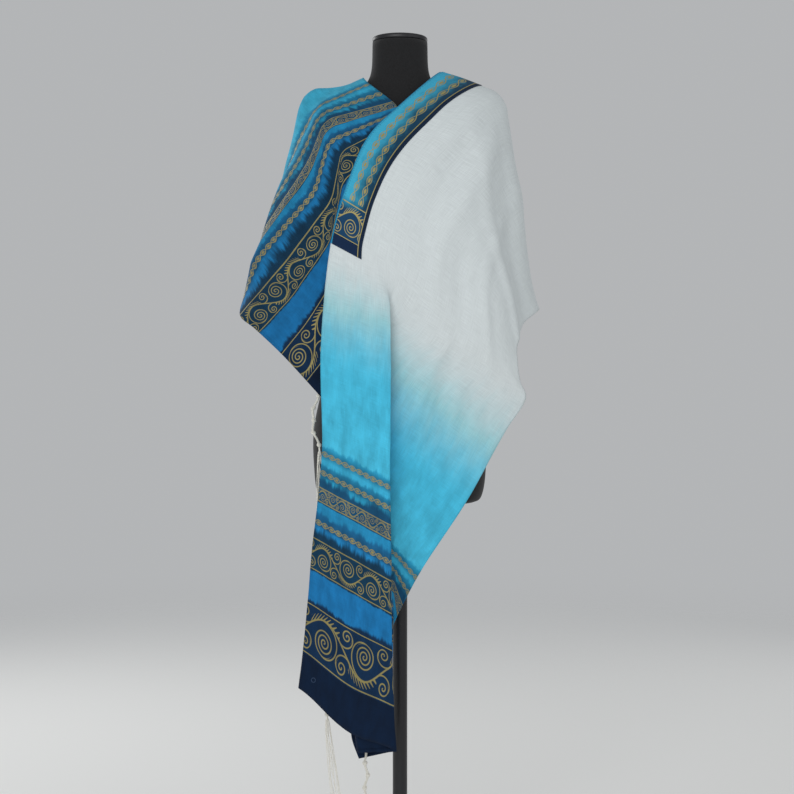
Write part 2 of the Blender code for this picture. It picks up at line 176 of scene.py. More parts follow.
floor_mesh = bmesh.new()
bmesh.ops.create_circle(floor_mesh, cap_ends=True, segments=96, radius=FLOOR_RADIUS)
floor = piece_from(floor_mesh, "floor")
floor_paint, floor_tree, floor_shader = new_material("matt_studio_floor", roughness=0.9)
floor_shader.inputs["Base Color"].default_value = linear("EEEEEC")
floor_place = add_node(floor_tree, "TexCoord", output=3)
from_stand = add_node(floor_tree, "VectorMath LENGTH", floor_place)
thinned = add_node(floor_tree, "MapRange", from_stand, FLOOR_SOLID, FLOOR_GONE, 0.0, 1.0,
                   interpolation_type="SMOOTHSTEP")
clear = add_node(floor_tree, "BsdfTransparent")
blend = add_node(floor_tree, "MixShader", thinned, floor_shader.outputs["BSDF"], clear)
floor_tree.links.new(blend, floor_tree.nodes["Material Output"].inputs["Surface"])
floor.data.materials.append(floor_paint)

world = bpy.data.worlds.new("studio")
world.use_nodes = True
backdrop = world.node_tree.nodes["Background"]
backdrop.inputs["Color"].default_value = linear("D8DADC")
backdrop.inputs["Strength"].default_value = BACKDROP_STRENGTH
bpy.context.scene.world = world
bpy.context.scene.view_settings.view_transform = "Standard"
print("floor", 2 * FLOOR_RADIUS, "m wide")

# %% [markdown]
# ## How the cloth hangs
#
# A worn shawl is hard to get from a simulation alone, because someone has arranged it. Instead
# its drape is described as a dressmaker would: a section across the cloth wherever its course
# changes, each with five points from the neck edge to the hem. The stretches between the points
# are the cloth's layers and the inner points are its folds. A smooth curve joins each point to
# the same one in the next section, and each fold is rounded by averaging over a short distance.

# %% The sections
CLOTH_WIDTH = 0.560
CLOTH_LENGTH = 2.280
FOLD_SAMPLES = 11               # places averaged to round a fold
PROBE = 0.001                   # step to both sides when a slope is measured
EDGE_SAG = 0.022                # of the panel's lower edge, fading out over SAG_REACH
SAG_REACH = 0.300

# run in metres from the cloth's left end, points and rounding in millimetres
Section = namedtuple("Section", "run neck_edge fold_1 fold_2 fold_3 hem bend soft")

SECTION_ROWS = (
    # The hanging panel, pleated in three layers.
    (0.00, (-194, -130, 457), (-4, -205, 354), (-83, -157, 341),
     (-12, -140, 338), (-79, -116, 319), 9, 12),
    (0.04, (-189, -130, 497), (-7, -205, 400), (-91, -156, 383),
     (-12, -140, 376), (-92, -116, 355), 9, 12),
    (0.12, (-180, -130, 581), (-11, -205, 497), (-102, -150, 467),
     (-12, -138, 455), (-88, -116, 409), 9, 12),
    (0.25, (-170, -130, 701), (-13, -200, 622), (-115, -141, 586),
     (-12, -135, 559), (-46, -116, 504), 9, 12),
    (0.45, (-149, -137, 905), (-16, -197, 841), (-115, -139, 794),
     (-8, -136, 711), (31, -122, 664), 9, 12),
    (0.65, (-151, -142, 1093), (-13, -190, 1036), (-90, -147, 978),
     (38, -138, 888), (132, -125, 821), 9, 15),
    # The pleat opens over the chest.
    (0.80, (-141, -147, 1232), (-14, -180, 1184), (-53, -158, 1148),
     (76, -147, 1054), (207, -115, 954), 10, 17),
    (0.86, (-134, -149, 1287), (-19, -167, 1227), (-10, -157, 1167),
     (110, -143, 1092), (243, -95, 1008), 8, 27),
    (0.92, (-125, -149, 1336), (-19, -160, 1274), (40, -153, 1218),
     (152, -135, 1132), (232, -90, 1045), 0, 35),
    (1.00, (-101, -145, 1416), (-6, -155, 1356), (92, -143, 1287),
     (192, -113, 1190), (228, -74, 1122), 0, 32),
    # Round the left shoulder, arm side and elbow.
    (1.12, (-54, -115, 1522), (45, -135, 1470), (150, -124, 1388),
     (220, -45, 1298), (282, 32, 1190), 0, 28),
    (1.20, (2, -80, 1582), (77, -100, 1566), (172, -75, 1550),
     (246, 5, 1406), (272, 90, 1182), 0, 30),
    (1.30, (80, -4, 1661), (131, -20, 1640), (212, 12, 1620),
     (241, 75, 1400), (197, 148, 1115), 0, 25),
    # The back, its neck edge slack.
    (1.40, (64, 85, 1635), (115, 72, 1635), (170, 85, 1580),
     (170, 140, 1350), (95, 163, 1085), 0, 30),
    (1.50, (24, 128, 1585), (57, 112, 1570), (80, 118, 1515),
     (75, 152, 1300), (-5, 168, 1070), 0, 35),
    (1.59, (-20, 128, 1587), (-45, 112, 1570), (-50, 118, 1510),
     (-60, 152, 1290), (-100, 163, 1078), 0, 35),
    (1.68, (-58, 85, 1632), (-98, 78, 1618), (-158, 78, 1590),
     (-183, 130, 1360), (-195, 142, 1105), 0, 30),
    (1.76, (-74, 25, 1655), (-122, 18, 1634), (-194, 15, 1630),
     (-243, 58, 1400), (-262, 105, 1150), 0, 25),
    # The right end, over the right shoulder and under the left front.
    (1.83, (-60, -36, 1630), (-166, -42, 1583), (-200, -30, 1524),
     (-246, 4, 1431), (-282, 60, 1210), 0, 20),
    (1.905, (-8, -74, 1581), (-142, -80, 1544), (-173, -74, 1462),
     (-277, -30, 1323), (-305, 30, 1204), 0, 18),
    (1.957, (-4, -84, 1563), (-137, -96, 1505), (-165, -84, 1408),
     (-283, -50, 1277), (-315, -12, 1197), 0, 16),
    (1.986, (8, -92, 1548), (-116, -106, 1485), (-134, -88, 1392),
     (-217, -84, 1280), (-315, -45, 1173), 0, 15),
    (2.03, (19, -96, 1532), (-116, -110, 1440), (-134, -94, 1329),
     (-213, -96, 1217), (-284, -76, 1146), 0, 15),
    (2.10, (62, -98, 1496), (-73, -118, 1389), (-121, -112, 1271),
     (-184, -116, 1169), (-239, -100, 1105), 0, 20),
    (2.28, (157, -88, 1425), (61, -115, 1293), (-16, -126, 1163),
     (-86, -127, 1073), (-142, -125, 1002), 0, 30),
)
SECTIONS = tuple(Section(*row) for row in SECTION_ROWS)


def layer_ends(section):
    """A section's points with each fold doubled: where one layer ends and the next begins."""
    half_bend = np.array((0.0, section.bend / 2, 0.0))
    ends = [section.neck_edge]
    for fold in (section.fold_1, section.fold_2, section.fold_3):
        ends += [fold - half_bend, fold + half_bend]
    ends.append(section.hem)
    return ends


SECTION_RUNS = np.array([section.run for section in SECTIONS])
SECTION_POINTS = np.array([layer_ends(section) for section in SECTIONS]) * MM
SECTION_SOFT = np.array([section.soft for section in SECTIONS]) * MM
print(len(SECTIONS), "sections over", CLOTH_LENGTH, "m")


# %% Folds from the shoulders to the hem
# ridges at the back, or troughs where the height is negative, deepest at the hem
# runs and distances across in metres; half width and height in millimetres
Fold = namedtuple("Fold", "top_run top_across hem_run half_width height")

FOLDS = (
    Fold(1.365, 0.20, 1.340, 28, -13),
    Fold(1.395, 0.12, 1.410, 27, 21),
    Fold(1.435, 0.16, 1.468, 24, -17),
    Fold(1.490, 0.20, 1.530, 27, 16),
    Fold(1.575, 0.24, 1.590, 26, -15),
    Fold(1.635, 0.18, 1.645, 25, 18),
    Fold(1.680, 0.16, 1.700, 23, -18),
    Fold(1.715, 0.12, 1.750, 25, 19),
    Fold(1.755, 0.20, 1.783, 22, -10),
)
FOLD_DROP = 0.45                # how much lower a ridge hangs, as a share of its height


def fold_lift(run, across):
    """How far the back's folds stand out of the plain drape, in metres."""
    lift = np.zeros_like(across)
    for fold in FOLDS:
        part = np.clip((across - fold.top_across) / (CLOTH_WIDTH - fold.top_across), 0.0, 1.0)
        middle = fold.top_run + (fold.hem_run - fold.top_run) * part
        aside = (run - middle) / (fold.half_width * MM)
        lift += fold.height * MM * part ** 2 * (3 - 2 * part) * np.exp(-aside ** 2)
    return lift


print(len(FOLDS), "hanging folds")


# %% From sections to a surface
def smooth_between(part, start, end, leave, arrive):
    """The smooth curve from start to end with these slopes there, at a part of the way."""
    return ((1 + 2 * part) * (1 - part) ** 2 * start + part * (1 - part) ** 2 * leave
            + part ** 2 * (3 - 2 * part) * end + part ** 2 * (part - 1) * arrive)


def section_slopes():
    """Slope of every section point along the run, weighted from its two neighbours."""
    gaps = np.diff(SECTION_RUNS)[:, None, None]
    chords = np.diff(SECTION_POINTS, axis=0) / gaps
    slopes = np.empty_like(SECTION_POINTS)
    slopes[0] = chords[0]
    slopes[-1] = chords[-1]
    slopes[1:-1] = (chords[:-1] * gaps[1:] + chords[1:] * gaps[:-1]) / (gaps[1:] + gaps[:-1])
    return slopes


SECTION_SLOPES = section_slopes()


def section_at(run):
    """The layer ends of the section at a run."""
    last = len(SECTION_RUNS) - 2
    row = int(np.clip(np.searchsorted(SECTION_RUNS, run, side="right") - 1, 0, last))
    gap = SECTION_RUNS[row + 1] - SECTION_RUNS[row]
    part = (run - SECTION_RUNS[row]) / gap
    return smooth_between(part, SECTION_POINTS[row], SECTION_POINTS[row + 1],
                          SECTION_SLOPES[row] * gap, SECTION_SLOPES[row + 1] * gap)


print("ends of layers in a section:", len(section_at(0.0)))


# %% One row of the drape
def on_polyline(places, points, across):
    """Points of a section's straight layers, carried on past both edges of the cloth."""
    inside = np.clip(across, 0.0, CLOTH_WIDTH)
    reached = np.stack([np.interp(inside, places, points[:, axis]) for axis in range(3)], axis=-1)
    first_way = (points[1] - points[0]) / (places[1] - places[0])
    last_way = (points[-1] - points[-2]) / (places[-1] - places[-2])
    before = np.minimum(across, 0.0)[..., None] * first_way
    beyond = np.maximum(across - CLOTH_WIDTH, 0.0)[..., None] * last_way
    return reached + before + beyond


def plain_row(run, across):
    """Points of the drape without its folds, at one run and an array of distances across."""
    points = section_at(run)
    lengths = np.linalg.norm(np.diff(points, axis=0), axis=1)
    places = np.concatenate(([0.0], np.cumsum(lengths)))
    places *= CLOTH_WIDTH / places[-1]
    soft = np.interp(run, SECTION_RUNS, SECTION_SOFT)
    window = np.sin(np.linspace(-1.0, 1.0, FOLD_SAMPLES) * pi / 2) * soft
    row = on_polyline(places, points, across + window[:, None]).mean(axis=0)
    fade = max(0.0, 1.0 - run / SAG_REACH) ** 2
    row[:, 2] -= EDGE_SAG * fade * np.sin(pi * np.clip(across / places[1], 0.0, 1.0)) ** 2
    return row


def normals_of(surface, run, across):
    """Unit vectors out of the shown side of a surface given as rows."""
    along = surface(run + PROBE, across) - surface(run - PROBE, across)
    sideways = surface(run, across + PROBE) - surface(run, across - PROBE)
    normals = np.cross(sideways, along)
    return normals / np.linalg.norm(normals, axis=1, keepdims=True)


def smooth_row(run, across):
    """Points of the folded drape, before its creases."""
    lift = fold_lift(run, across)
    row = plain_row(run, across) + lift[:, None] * normals_of(plain_row, run, across)
    row[:, 2] -= FOLD_DROP * lift
    return row


middle_of_neck_edge = smooth_row(CLOTH_LENGTH / 2, np.array([0.0]))[0]
print("middle of the neck edge:", middle_of_neck_edge.round(3))

# %% [markdown]
# ## Soft creases
#
# Cloth this light never hangs quite smooth. Each row below is one soft ridge, or a trough if its
# height is negative. It runs in a straight line over the flat cloth from one place to another,
# fades out at both ends, and has its own width. A faint unevenness over the whole cloth, made of
# a few slow waves, keeps the light from lying flat between them.

# %% The creases
# runs and distances across in metres; half width and height in millimetres
Crease = namedtuple("Crease", "from_run from_across to_run to_across half_width height")

CREASES = (
    # the hanging panel: faint press lines down its length
    Crease(0.02, 0.055, 0.62, 0.045, 11, 1.4),
    Crease(0.06, 0.120, 0.50, 0.100, 14, -1.6),
    Crease(0.30, 0.150, 0.78, 0.095, 9, 1.2),
    # the chest, fanning from the left shoulder
    Crease(0.90, 0.150, 1.30, 0.110, 20, 4.0),
    Crease(0.92, 0.230, 1.28, 0.150, 24, -5.0),
    Crease(0.84, 0.300, 1.26, 0.200, 20, 5.0),
    Crease(0.74, 0.420, 1.16, 0.270, 26, -5.0),
    Crease(0.86, 0.470, 1.22, 0.300, 18, 4.5),
    Crease(0.60, 0.480, 0.84, 0.440, 16, 2.5),
    # round the left arm side
    Crease(1.20, 0.130, 0.93, 0.720, 11, 6.0),
    Crease(1.24, 0.150, 0.97, 0.740, 19, -6.5),
    Crease(1.16, 0.540, 1.36, 0.330, 18, 3.0),
    # the back: small creases between the folds, and slack below the neck
    Crease(1.34, 0.120, 1.46, 0.330, 15, -3.5),
    Crease(1.39, 0.090, 1.53, 0.200, 14, 3.5),
    Crease(1.43, 0.080, 1.64, 0.110, 16, -4.0),
    Crease(1.46, 0.300, 1.47, 0.540, 12, 2.5),
    Crease(1.55, 0.180, 1.70, 0.110, 14, 3.5),
    Crease(1.61, 0.360, 1.60, 0.550, 13, 3.0),
    Crease(1.64, 0.270, 1.77, 0.130, 15, -3.5),
    Crease(1.69, 0.340, 1.70, 0.550, 11, -2.0),
    # the right shoulder and its short end
    Crease(1.84, 0.110, 1.80, 0.480, 18, -4.5),
    Crease(1.90, 0.100, 1.92, 0.440, 14, 4.0),
    Crease(1.97, 0.080, 2.00, 0.300, 16, -5.5),
    Crease(2.03, 0.240, 2.06, 0.520, 16, 3.0),
    Crease(2.12, 0.330, 2.20, 0.540, 14, -2.5),
)

# slow waves over the flat cloth: lengths in metres, height in millimetres
Wave = namedtuple("Wave", "run_length across_length phase height")

WAVES = (
    Wave(0.310, 0.170, 0.3, 0.50),
    Wave(0.137, 0.083, 1.9, 0.35),
    Wave(0.071, 0.230, 4.1, 0.22),
)


def crease_lift(run, across):
    """How far the creases move each point of one row out of the plain cloth, in metres."""
    lift = np.zeros_like(across)
    for crease in CREASES:
        way = np.array((crease.to_run - crease.from_run, crease.to_across - crease.from_across))
        length = np.linalg.norm(way)
        way /= length
        run_offset = run - crease.from_run
        across_offset = across - crease.from_across
        along = (run_offset * way[0] + across_offset * way[1]) / length
        aside = (across_offset * way[0] - run_offset * way[1]) / (crease.half_width * MM)
        fade = np.sin(np.clip(along, 0.0, 1.0) * pi) ** 0.7
        lift += crease.height * MM * fade * np.exp(-aside ** 2)
    for wave in WAVES:
        lift += wave.height * MM * (np.sin(tau * run / wave.run_length + wave.phase)
                                    * np.sin(tau * across / wave.across_length + wave.phase))
    return lift


def cloth_row(run, across, lift=0.0):
    """Points of the creased cloth at one run, moved out of its shown side by lift."""
    out = crease_lift(run, across) + lift
    return smooth_row(run, across) + out[:, None] * normals_of(smooth_row, run, across)


print(len(CREASES), "creases")


# %% [markdown]
# ## The shawl
#
# The cloth starts as a flat grid with a vertex every 5 to 7 mm, and every vertex is then moved to
# where the drape puts it. The grid's UVs keep the layout of the flat cloth, so the dyer's bands
# follow the cloth through every fold. A Solidify modifier gives it the thickness of a light weave.

# %% A draped grid
def draped_grid(name, runs, across, lift=0.0):
    """A grid of the cloth at these runs and distances across. Its UVs are the flat cloth."""
    rows = [cloth_row(run, across, lift) for run in runs]
    grid = bmesh.new()
    bmesh.ops.create_grid(grid, x_segments=len(across) - 1, y_segments=len(runs) - 1, size=1.0)
    layout = grid.loops.layers.uv.new("flat_cloth")
    flat = {}
    for vertex in grid.verts:
        column = round((vertex.co.x + 1.0) / 2.0 * (len(across) - 1))
        row = round((vertex.co.y + 1.0) / 2.0 * (len(runs) - 1))
        flat[vertex] = (runs[row] / CLOTH_LENGTH, across[column] / CLOTH_LENGTH)
        vertex.co = rows[row][column]
    for face in grid.faces:
        face.smooth = True
        for corner in face.loops:
            corner[layout].uv = flat[corner.vert]
    return piece_from(grid, name)


def give_thickness(piece, thickness):
    """A live Solidify modifier that grows the sheet to both sides."""
    wall = piece.modifiers.new("thickness", "SOLIDIFY")
    wall.thickness = thickness
    wall.offset = 0.0


# %% The cloth itself
CLOTH_THICKNESS = 0.0008
RUN_PITCH = 0.0070
ACROSS_PITCH = 0.0047

shawl_runs = np.linspace(0.0, CLOTH_LENGTH, round(CLOTH_LENGTH / RUN_PITCH) + 1)
shawl_across = np.linspace(0.0, CLOTH_WIDTH, round(CLOTH_WIDTH / ACROSS_PITCH) + 1)
shawl = draped_grid("shawl_cloth", shawl_runs, shawl_across)
give_thickness(shawl, CLOTH_THICKNESS)
print("shawl", len(shawl.data.polygons), "quads")

# %% [markdown]
# The edges are turned under once and stitched. From the shown side that is only a firmer edge,
# but the back of the cloth shows the narrow turned strip, so it is its own thin piece there.

# %% Turned hems
HEM_WIDTH = 0.007
HEM_THICKNESS = 0.0006
HEM_GAP = 0.0001
HEM_LIFT = -(CLOTH_THICKNESS + HEM_THICKNESS) / 2 - HEM_GAP

hem_strips = {
    "hem_neck_edge": (shawl_runs, np.linspace(0.0, HEM_WIDTH, 3)),
    "hem_lower_edge": (shawl_runs, np.linspace(CLOTH_WIDTH - HEM_WIDTH, CLOTH_WIDTH, 3)),
    "hem_left_end": (np.linspace(0.0, HEM_WIDTH, 3), shawl_across),
    "hem_right_end": (np.linspace(CLOTH_LENGTH - HEM_WIDTH, CLOTH_LENGTH, 3), shawl_across),
}
hems = []
for name, (runs, across) in hem_strips.items():
    strip = draped_grid(name, runs, across, HEM_LIFT)
    give_thickness(strip, HEM_THICKNESS)
    hems.append(strip)
print("hems", [strip.name for strip in hems])

# %% [markdown]
# ## The neckband
#
# A woven band is sewn along the middle of the neck edge. It follows the cloth exactly, lies on
# its shown side, and its edges roll down a little where the stitches pull them.

# %% Neckband
BAND_START = 0.880
BAND_END = CLOTH_LENGTH - BAND_START
BAND_INSET = 0.003
BAND_WIDTH = 0.072
BAND_THICKNESS = 0.0010
BAND_GAP = 0.0003
BAND_LIFT = (CLOTH_THICKNESS + BAND_THICKNESS) / 2 + BAND_GAP

band_runs = np.linspace(BAND_START, BAND_END, 105)
band_across = np.linspace(BAND_INSET, BAND_INSET + BAND_WIDTH, 19)
neckband = draped_grid("neckband_cloth", band_runs, band_across, BAND_LIFT)
give_thickness(neckband, BAND_THICKNESS)
band_edge = neckband.modifiers.new("rolled edge", "BEVEL")
band_edge.width = 0.0004
band_edge.segments = 2
band_edge.limit_method = "ANGLE"
print("neckband", round(BAND_END - BAND_START, 3), "m long")

# %% [markdown]
# Running stitches hold the band down, 2 mm in from its edges. Each stitch is a short thread that
# rises from the cloth, lies on the band and dips in again.

# %% Stitches of the neckband
STITCH_INSET = 0.002
STITCH_PITCH = 0.0052
STITCH_LENGTH = 0.0034
STITCH_RADIUS = 0.00026
STITCH_LIFT = BAND_LIFT + BAND_THICKNESS / 2

band_edges = (BAND_INSET + STITCH_INSET, BAND_INSET + BAND_WIDTH - STITCH_INSET)
band_ends = (BAND_START + STITCH_INSET, BAND_END - STITCH_INSET)


def add_thread(curve, points, radius=1.0):
    """One open thread through these points, its radius in parts of the curve's own."""
    thread = curve.splines.new("POLY")
    thread.points.add(len(points) - 1)
    for spot, place in zip(thread.points, points):
        spot.co = (*place, 1.0)
        spot.radius = radius


def stitch_points(runs, across):
    """The points of stitches that start, bulge and end at these three runs or rows across."""
    heights = (-STITCH_RADIUS, STITCH_RADIUS * 0.8, -STITCH_RADIUS)
    return [cloth_row(run, places, STITCH_LIFT + height)
            for run, places, height in zip(runs, across, heights)]


stitch_lines = []
halfway = np.array((0.0, 0.5, 1.0)) * STITCH_LENGTH
for run in np.arange(band_ends[0], band_ends[1] - STITCH_LENGTH, STITCH_PITCH):
    both_edges = [np.array(band_edges)] * len(halfway)
    stitch_lines.extend(zip(*stitch_points(run + halfway, both_edges)))
for run in band_ends:
    places = np.arange(band_edges[0], band_edges[1] - STITCH_LENGTH, STITCH_PITCH)
    stitch_lines.extend(zip(*stitch_points([run] * len(halfway), places + halfway[:, None])))

stitch_curve = bpy.data.curves.new("neckband_stitches", "CURVE")
stitch_curve.dimensions = "3D"
stitch_curve.bevel_depth = STITCH_RADIUS
stitch_curve.bevel_resolution = 1
stitch_curve.use_fill_caps = True
for points in stitch_lines:
    add_thread(stitch_curve, points)
stitches = add_to_scene("neckband_stitches", stitch_curve)
print(len(stitch_lines), "stitches")

# %% [markdown]
# ## Corner tassels
#
# Each corner has an eyelet, and four long threads pass through it and are doubled to make eight.
# Five knots are tied with windings between them, and the rest of the thread hangs loose. A
# thread is two plies laid round each other, so each one is modelled as a pair of thin coils. All
# of a tassel's threads are splines of one curve, because a curve gives them a round section.

# %% Where the tassels hang
# top, drift and bow in millimetres, as on the frame; the knotted head's length, the spread of
# the loose strands and the hole's place on the flat cloth in metres
Tassel = namedtuple("Tassel", "name node top drift bow head spread hole_run hole_across")
HOLE_INSET = 0.034
FAR_RUN = CLOTH_LENGTH - HOLE_INSET
FAR_ACROSS = CLOTH_WIDTH - HOLE_INSET

TASSELS = (
    Tassel("tassel_cords_front_neck", "tassel_front_neck", (-144, -128, 478), 28, 0,
           0.080, 0.0075, HOLE_INSET, HOLE_INSET),
    Tassel("tassel_cords_front_hem", "tassel_front_hem", (-66, -131, 350), -4, 2,
           0.118, 0.0058, HOLE_INSET, FAR_ACROSS),
    Tassel("tassel_cords_right_neck", "tassel_right_neck", (150, -92, 1408), 0, 0,
           0.118, 0.0058, FAR_RUN, HOLE_INSET),
    Tassel("tassel_cords_right_hem", "tassel_right_hem", (-156, -112, 1026), 4, -13,
           0.118, 0.0058, FAR_RUN, FAR_ACROSS),
)

TASSEL_LENGTH = 0.268           # from the knot's top to the strands' ends
STRAND_COUNT = 8
WINDINGS = (7, 8, 11, 13)
PLY_RADIUS = 0.00045
PLY_OFFSET = 0.00040
PLY_PITCH = 0.0060
CORE_RADIUS = 0.0019
KNOT_RADIUS = 0.0043
KNOT_LENGTH = 0.0070
KNOT_TURNS = 4
WRAP_RADIUS = 0.0023
BUNDLE_RADIUS = CORE_RADIUS * 0.6
BUNDLE_TURNS = 2.5              # of the eight strands through the whole head
KINK = 0.0028                   # how far the head zigzags from knot to knot
SWAY, SWAY_SPREAD = 0.0012, 0.0005
STRAND_TRIM = 0.035             # how much strands differ in length, as a share of it

# a thread's thickness in parts of a ply's
BUNDLE_WEIGHT = 1.6
KNOT_WEIGHT = 2.0
WINDING_WEIGHT = 1.3
LOOP_WEIGHT = 1.8


# %% Threads, windings and knots
def coil(top, bottom, radius, turns, steps_per_turn=10, start=0.0):
    """Points of a coil down the tassel's axis, from a depth to a greater one."""
    steps = max(2, round(turns * steps_per_turn))
    points = []
    for step in range(steps + 1):
        part = step / steps
        angle = start + tau * turns * part
        depth = top + (bottom - top) * part
        points.append(Vector((radius * cos(angle), radius * sin(angle), -depth)))
    return points


def knot_coil(middle):
    """Points of one knot: the wrapping thread swells out and closes in again over its turns."""
    points = coil(middle - KNOT_LENGTH / 2, middle + KNOT_LENGTH / 2, 1.0, KNOT_TURNS, 12)
    for index, point in enumerate(points):
        swell = sin(pi * index / (len(points) - 1)) ** 0.6
        radius = CORE_RADIUS + (KNOT_RADIUS - CORE_RADIUS) * swell
        point.x *= radius
        point.y *= radius
    return points


print("points in a knot:", len(knot_coil(0.0)))


# %% Loose strands and the eyelet they come from
def loose_strand(index, tassel, length):
    """The middle line of one loose strand: it leaves the last knot and waves a little."""
    angle = tau * index / STRAND_COUNT
    sway = SWAY + SWAY_SPREAD * sin(2.3 * index)
    spread = tassel.spread * (1 + 0.2 * sin(1.7 * index + 0.6))
    points = []
    steps = round(length / PLY_PITCH * 6)
    for step in range(steps + 1):
        part = step / steps
        out = BUNDLE_RADIUS + spread * part ** 0.45
        wave = sway * sin(tau * part * (1.6 + 0.15 * index) + index)
        x = out * cos(angle) + wave * sin(angle)
        y = out * sin(angle) - wave * cos(angle)
        points.append(Vector((x, y, -tassel.head - length * part)))
    return points


def plies(points):
    """The two plies laid round a thread's middle line."""
    pair = []
    for start in (0.0, pi):
        walked = 0.0
        ply = []
        for index, point in enumerate(points):
            if index:
                walked += (point - points[index - 1]).length
            angle = start + tau * walked / PLY_PITCH
            ply.append(point + Vector((PLY_OFFSET * cos(angle), PLY_OFFSET * sin(angle), 0.0)))
        pair.append(ply)
    return pair


def eyelet_place(tassel):
    """The hole's middle on the cloth and the cloth's outward direction there."""
    across = np.array([tassel.hole_across])
    place = Vector(cloth_row(tassel.hole_run, across)[0])
    out = Vector(normals_of(smooth_row, tassel.hole_run, across)[0])
    return place, out


for tassel in TASSELS:
    print(tassel.name, "hole at", [round(number, 3) for number in eyelet_place(tassel)[0]])

# %% Tie the four tassels
LOOP_SHIFTS = (-0.0018, -0.0006, 0.0006, 0.0018)
LOOP_LIFT = 0.0018
LOOP_BULGE = 0.0022


def tie_tassel(tassel):
    """The curve of one whole tassel, from its eyelet to the ends of its strands."""
    curve = bpy.data.curves.new(tassel.name, "CURVE")
    curve.dimensions = "3D"
    curve.bevel_depth = PLY_RADIUS
    curve.bevel_resolution = 0
    curve.use_fill_caps = True
    curve.resolution_u = 1
    top = Vector(tassel.top) * MM
    gap = tassel.head / (len(WINDINGS) + 1)

    def hang(points):
        """Points down a straight axis moved to where this tassel hangs."""
        moved = []
        for point in points:
            depth = max(0.0, -point.z)
            in_head = min(1.0, depth / tassel.head)
            drift = tassel.drift * MM * (depth / TASSEL_LENGTH) ** 1.5
            bow = tassel.bow * MM * sin(pi * in_head) ** 2
            kink = KINK * sin(pi * depth / gap) * sin(pi * in_head)
            moved.append(top + point + Vector((drift + bow + kink, kink / 2, 0.0)))
        return moved

    # the eight strands laid together through the head, and a knot and windings round them
    for index in range(STRAND_COUNT):
        bundle = coil(0.0, tassel.head, BUNDLE_RADIUS, BUNDLE_TURNS, 12,
                      tau * index / STRAND_COUNT)
        add_thread(curve, hang(bundle), BUNDLE_WEIGHT)
    knots = [gap * (index + 0.5) for index in range(len(WINDINGS) + 1)]
    for middle in knots:
        add_thread(curve, hang(knot_coil(middle)), KNOT_WEIGHT)
    for turns, above, below in zip(WINDINGS, knots[:-1], knots[1:]):
        wrap = coil(above + KNOT_LENGTH / 2, below - KNOT_LENGTH / 2, WRAP_RADIUS, turns)
        add_thread(curve, hang(wrap), WINDING_WEIGHT)

    # the loose strands, each a little shorter or longer than the next
    for index in range(STRAND_COUNT):
        share = 0.97 - STRAND_TRIM * (1 + sin(2.1 * index))
        length = (TASSEL_LENGTH - tassel.head) * share
        for ply in plies(hang(loose_strand(index, tassel, length))):
            add_thread(curve, ply)

    # four threads from the knot up to the eyelet, on the side of the cloth where the knot hangs
    hole, out = eyelet_place(tassel)
    aside = out.cross(Vector((0.0, 0.0, 1.0))).normalized()
    side = 1.0 if (top - hole).dot(out) > 0 else -1.0
    for shift in LOOP_SHIFTS:
        start = hole + aside * shift
        face = hole + out * side * LOOP_LIFT + aside * shift
        middle = face.lerp(top, 0.5) + out * side * LOOP_BULGE
        add_thread(curve, [start, face, face.lerp(middle, 0.6), middle, top], LOOP_WEIGHT)
    return add_to_scene(tassel.name, curve)


tassels = [tie_tassel(tassel) for tassel in TASSELS]
print("tassels:", [cords.name for cords in tassels])

# %% [markdown]
# Each hole is worked round with close stitches, which make a small raised ring on both sides of
# the cloth. A ring is a short thick circle, so it is spun from a small round section.

# %% Stitched eyelets
EYELET_RADIUS = 0.0042
EYELET_THREAD = 0.0009
FULL_TURN = {"axis": (0, 0, 1), "cent": (0, 0, 0), "dvec": (0, 0, 0), "angle": tau,
             "use_merge": True, "use_duplicate": False}


def work_eyelet(tassel):
    """The stitched ring round one tassel's hole."""
    hole, out = eyelet_place(tassel)
    ring = bmesh.new()
    section = bmesh.ops.create_circle(ring, segments=8, radius=EYELET_THREAD)["verts"]
    for vertex in section:
        vertex.co = (EYELET_RADIUS + vertex.co.x, 0.0, vertex.co.y)
    bmesh.ops.spin(ring, geom=ring.edges[:], **FULL_TURN, steps=28)
    bmesh.ops.recalc_face_normals(ring, faces=ring.faces)
    turn = out.to_track_quat("Z", "Y").to_matrix().to_4x4()
    bmesh.ops.transform(ring, matrix=turn, verts=ring.verts)
    bmesh.ops.translate(ring, verts=ring.verts, vec=hole)
    for face in ring.faces:
        face.smooth = True
    return piece_from(ring, tassel.name.replace("tassel_cords", "eyelet"))


eyelets = [work_eyelet(tassel) for tassel in TASSELS]
print("eyelets:", len(eyelets))

# %% [markdown]
# ## The dress form
#
# A dress form's torso is a padded shell under stretched black jersey, without arms or legs. Its
# rings are the frame's own ones, with smooth curves through them, so it is rounder than the
# frame's but no bigger. The sheet of rings starts as a flat grid and is wrapped round, and its
# two ends are closed with caps.

# %% Rings of the torso
# in millimetres, from the lowest up
Ring = namedtuple("Ring", "height half_width half_depth forward")

TORSO_RINGS = (
    Ring(800, 120, 80, 0),
    Ring(803, 148, 100, 0),
    Ring(815, 163, 113, 0),
    Ring(860, 171, 119, 0),
    Ring(950, 172, 118, 0),
    Ring(1060, 148, 100, 0),
    Ring(1150, 126, 88, 0),
    Ring(1230, 132, 91, 2),
    Ring(1310, 147, 97, 5),
    Ring(1380, 157, 97, 5),
    Ring(1450, 164, 88, 2),
    Ring(1510, 168, 76, -2),
    Ring(1555, 158, 63, -6),
    Ring(1588, 126, 54, -8),
    Ring(1615, 88, 47, -9),
    Ring(1643, 66, 44, -10),
    Ring(1670, 57, 44, -10),
    Ring(1722, 55, 44, -8),
)
TORSO_SIDES = 72
TORSO_LEVELS = 96
MERGE_DISTANCE = 0.00001


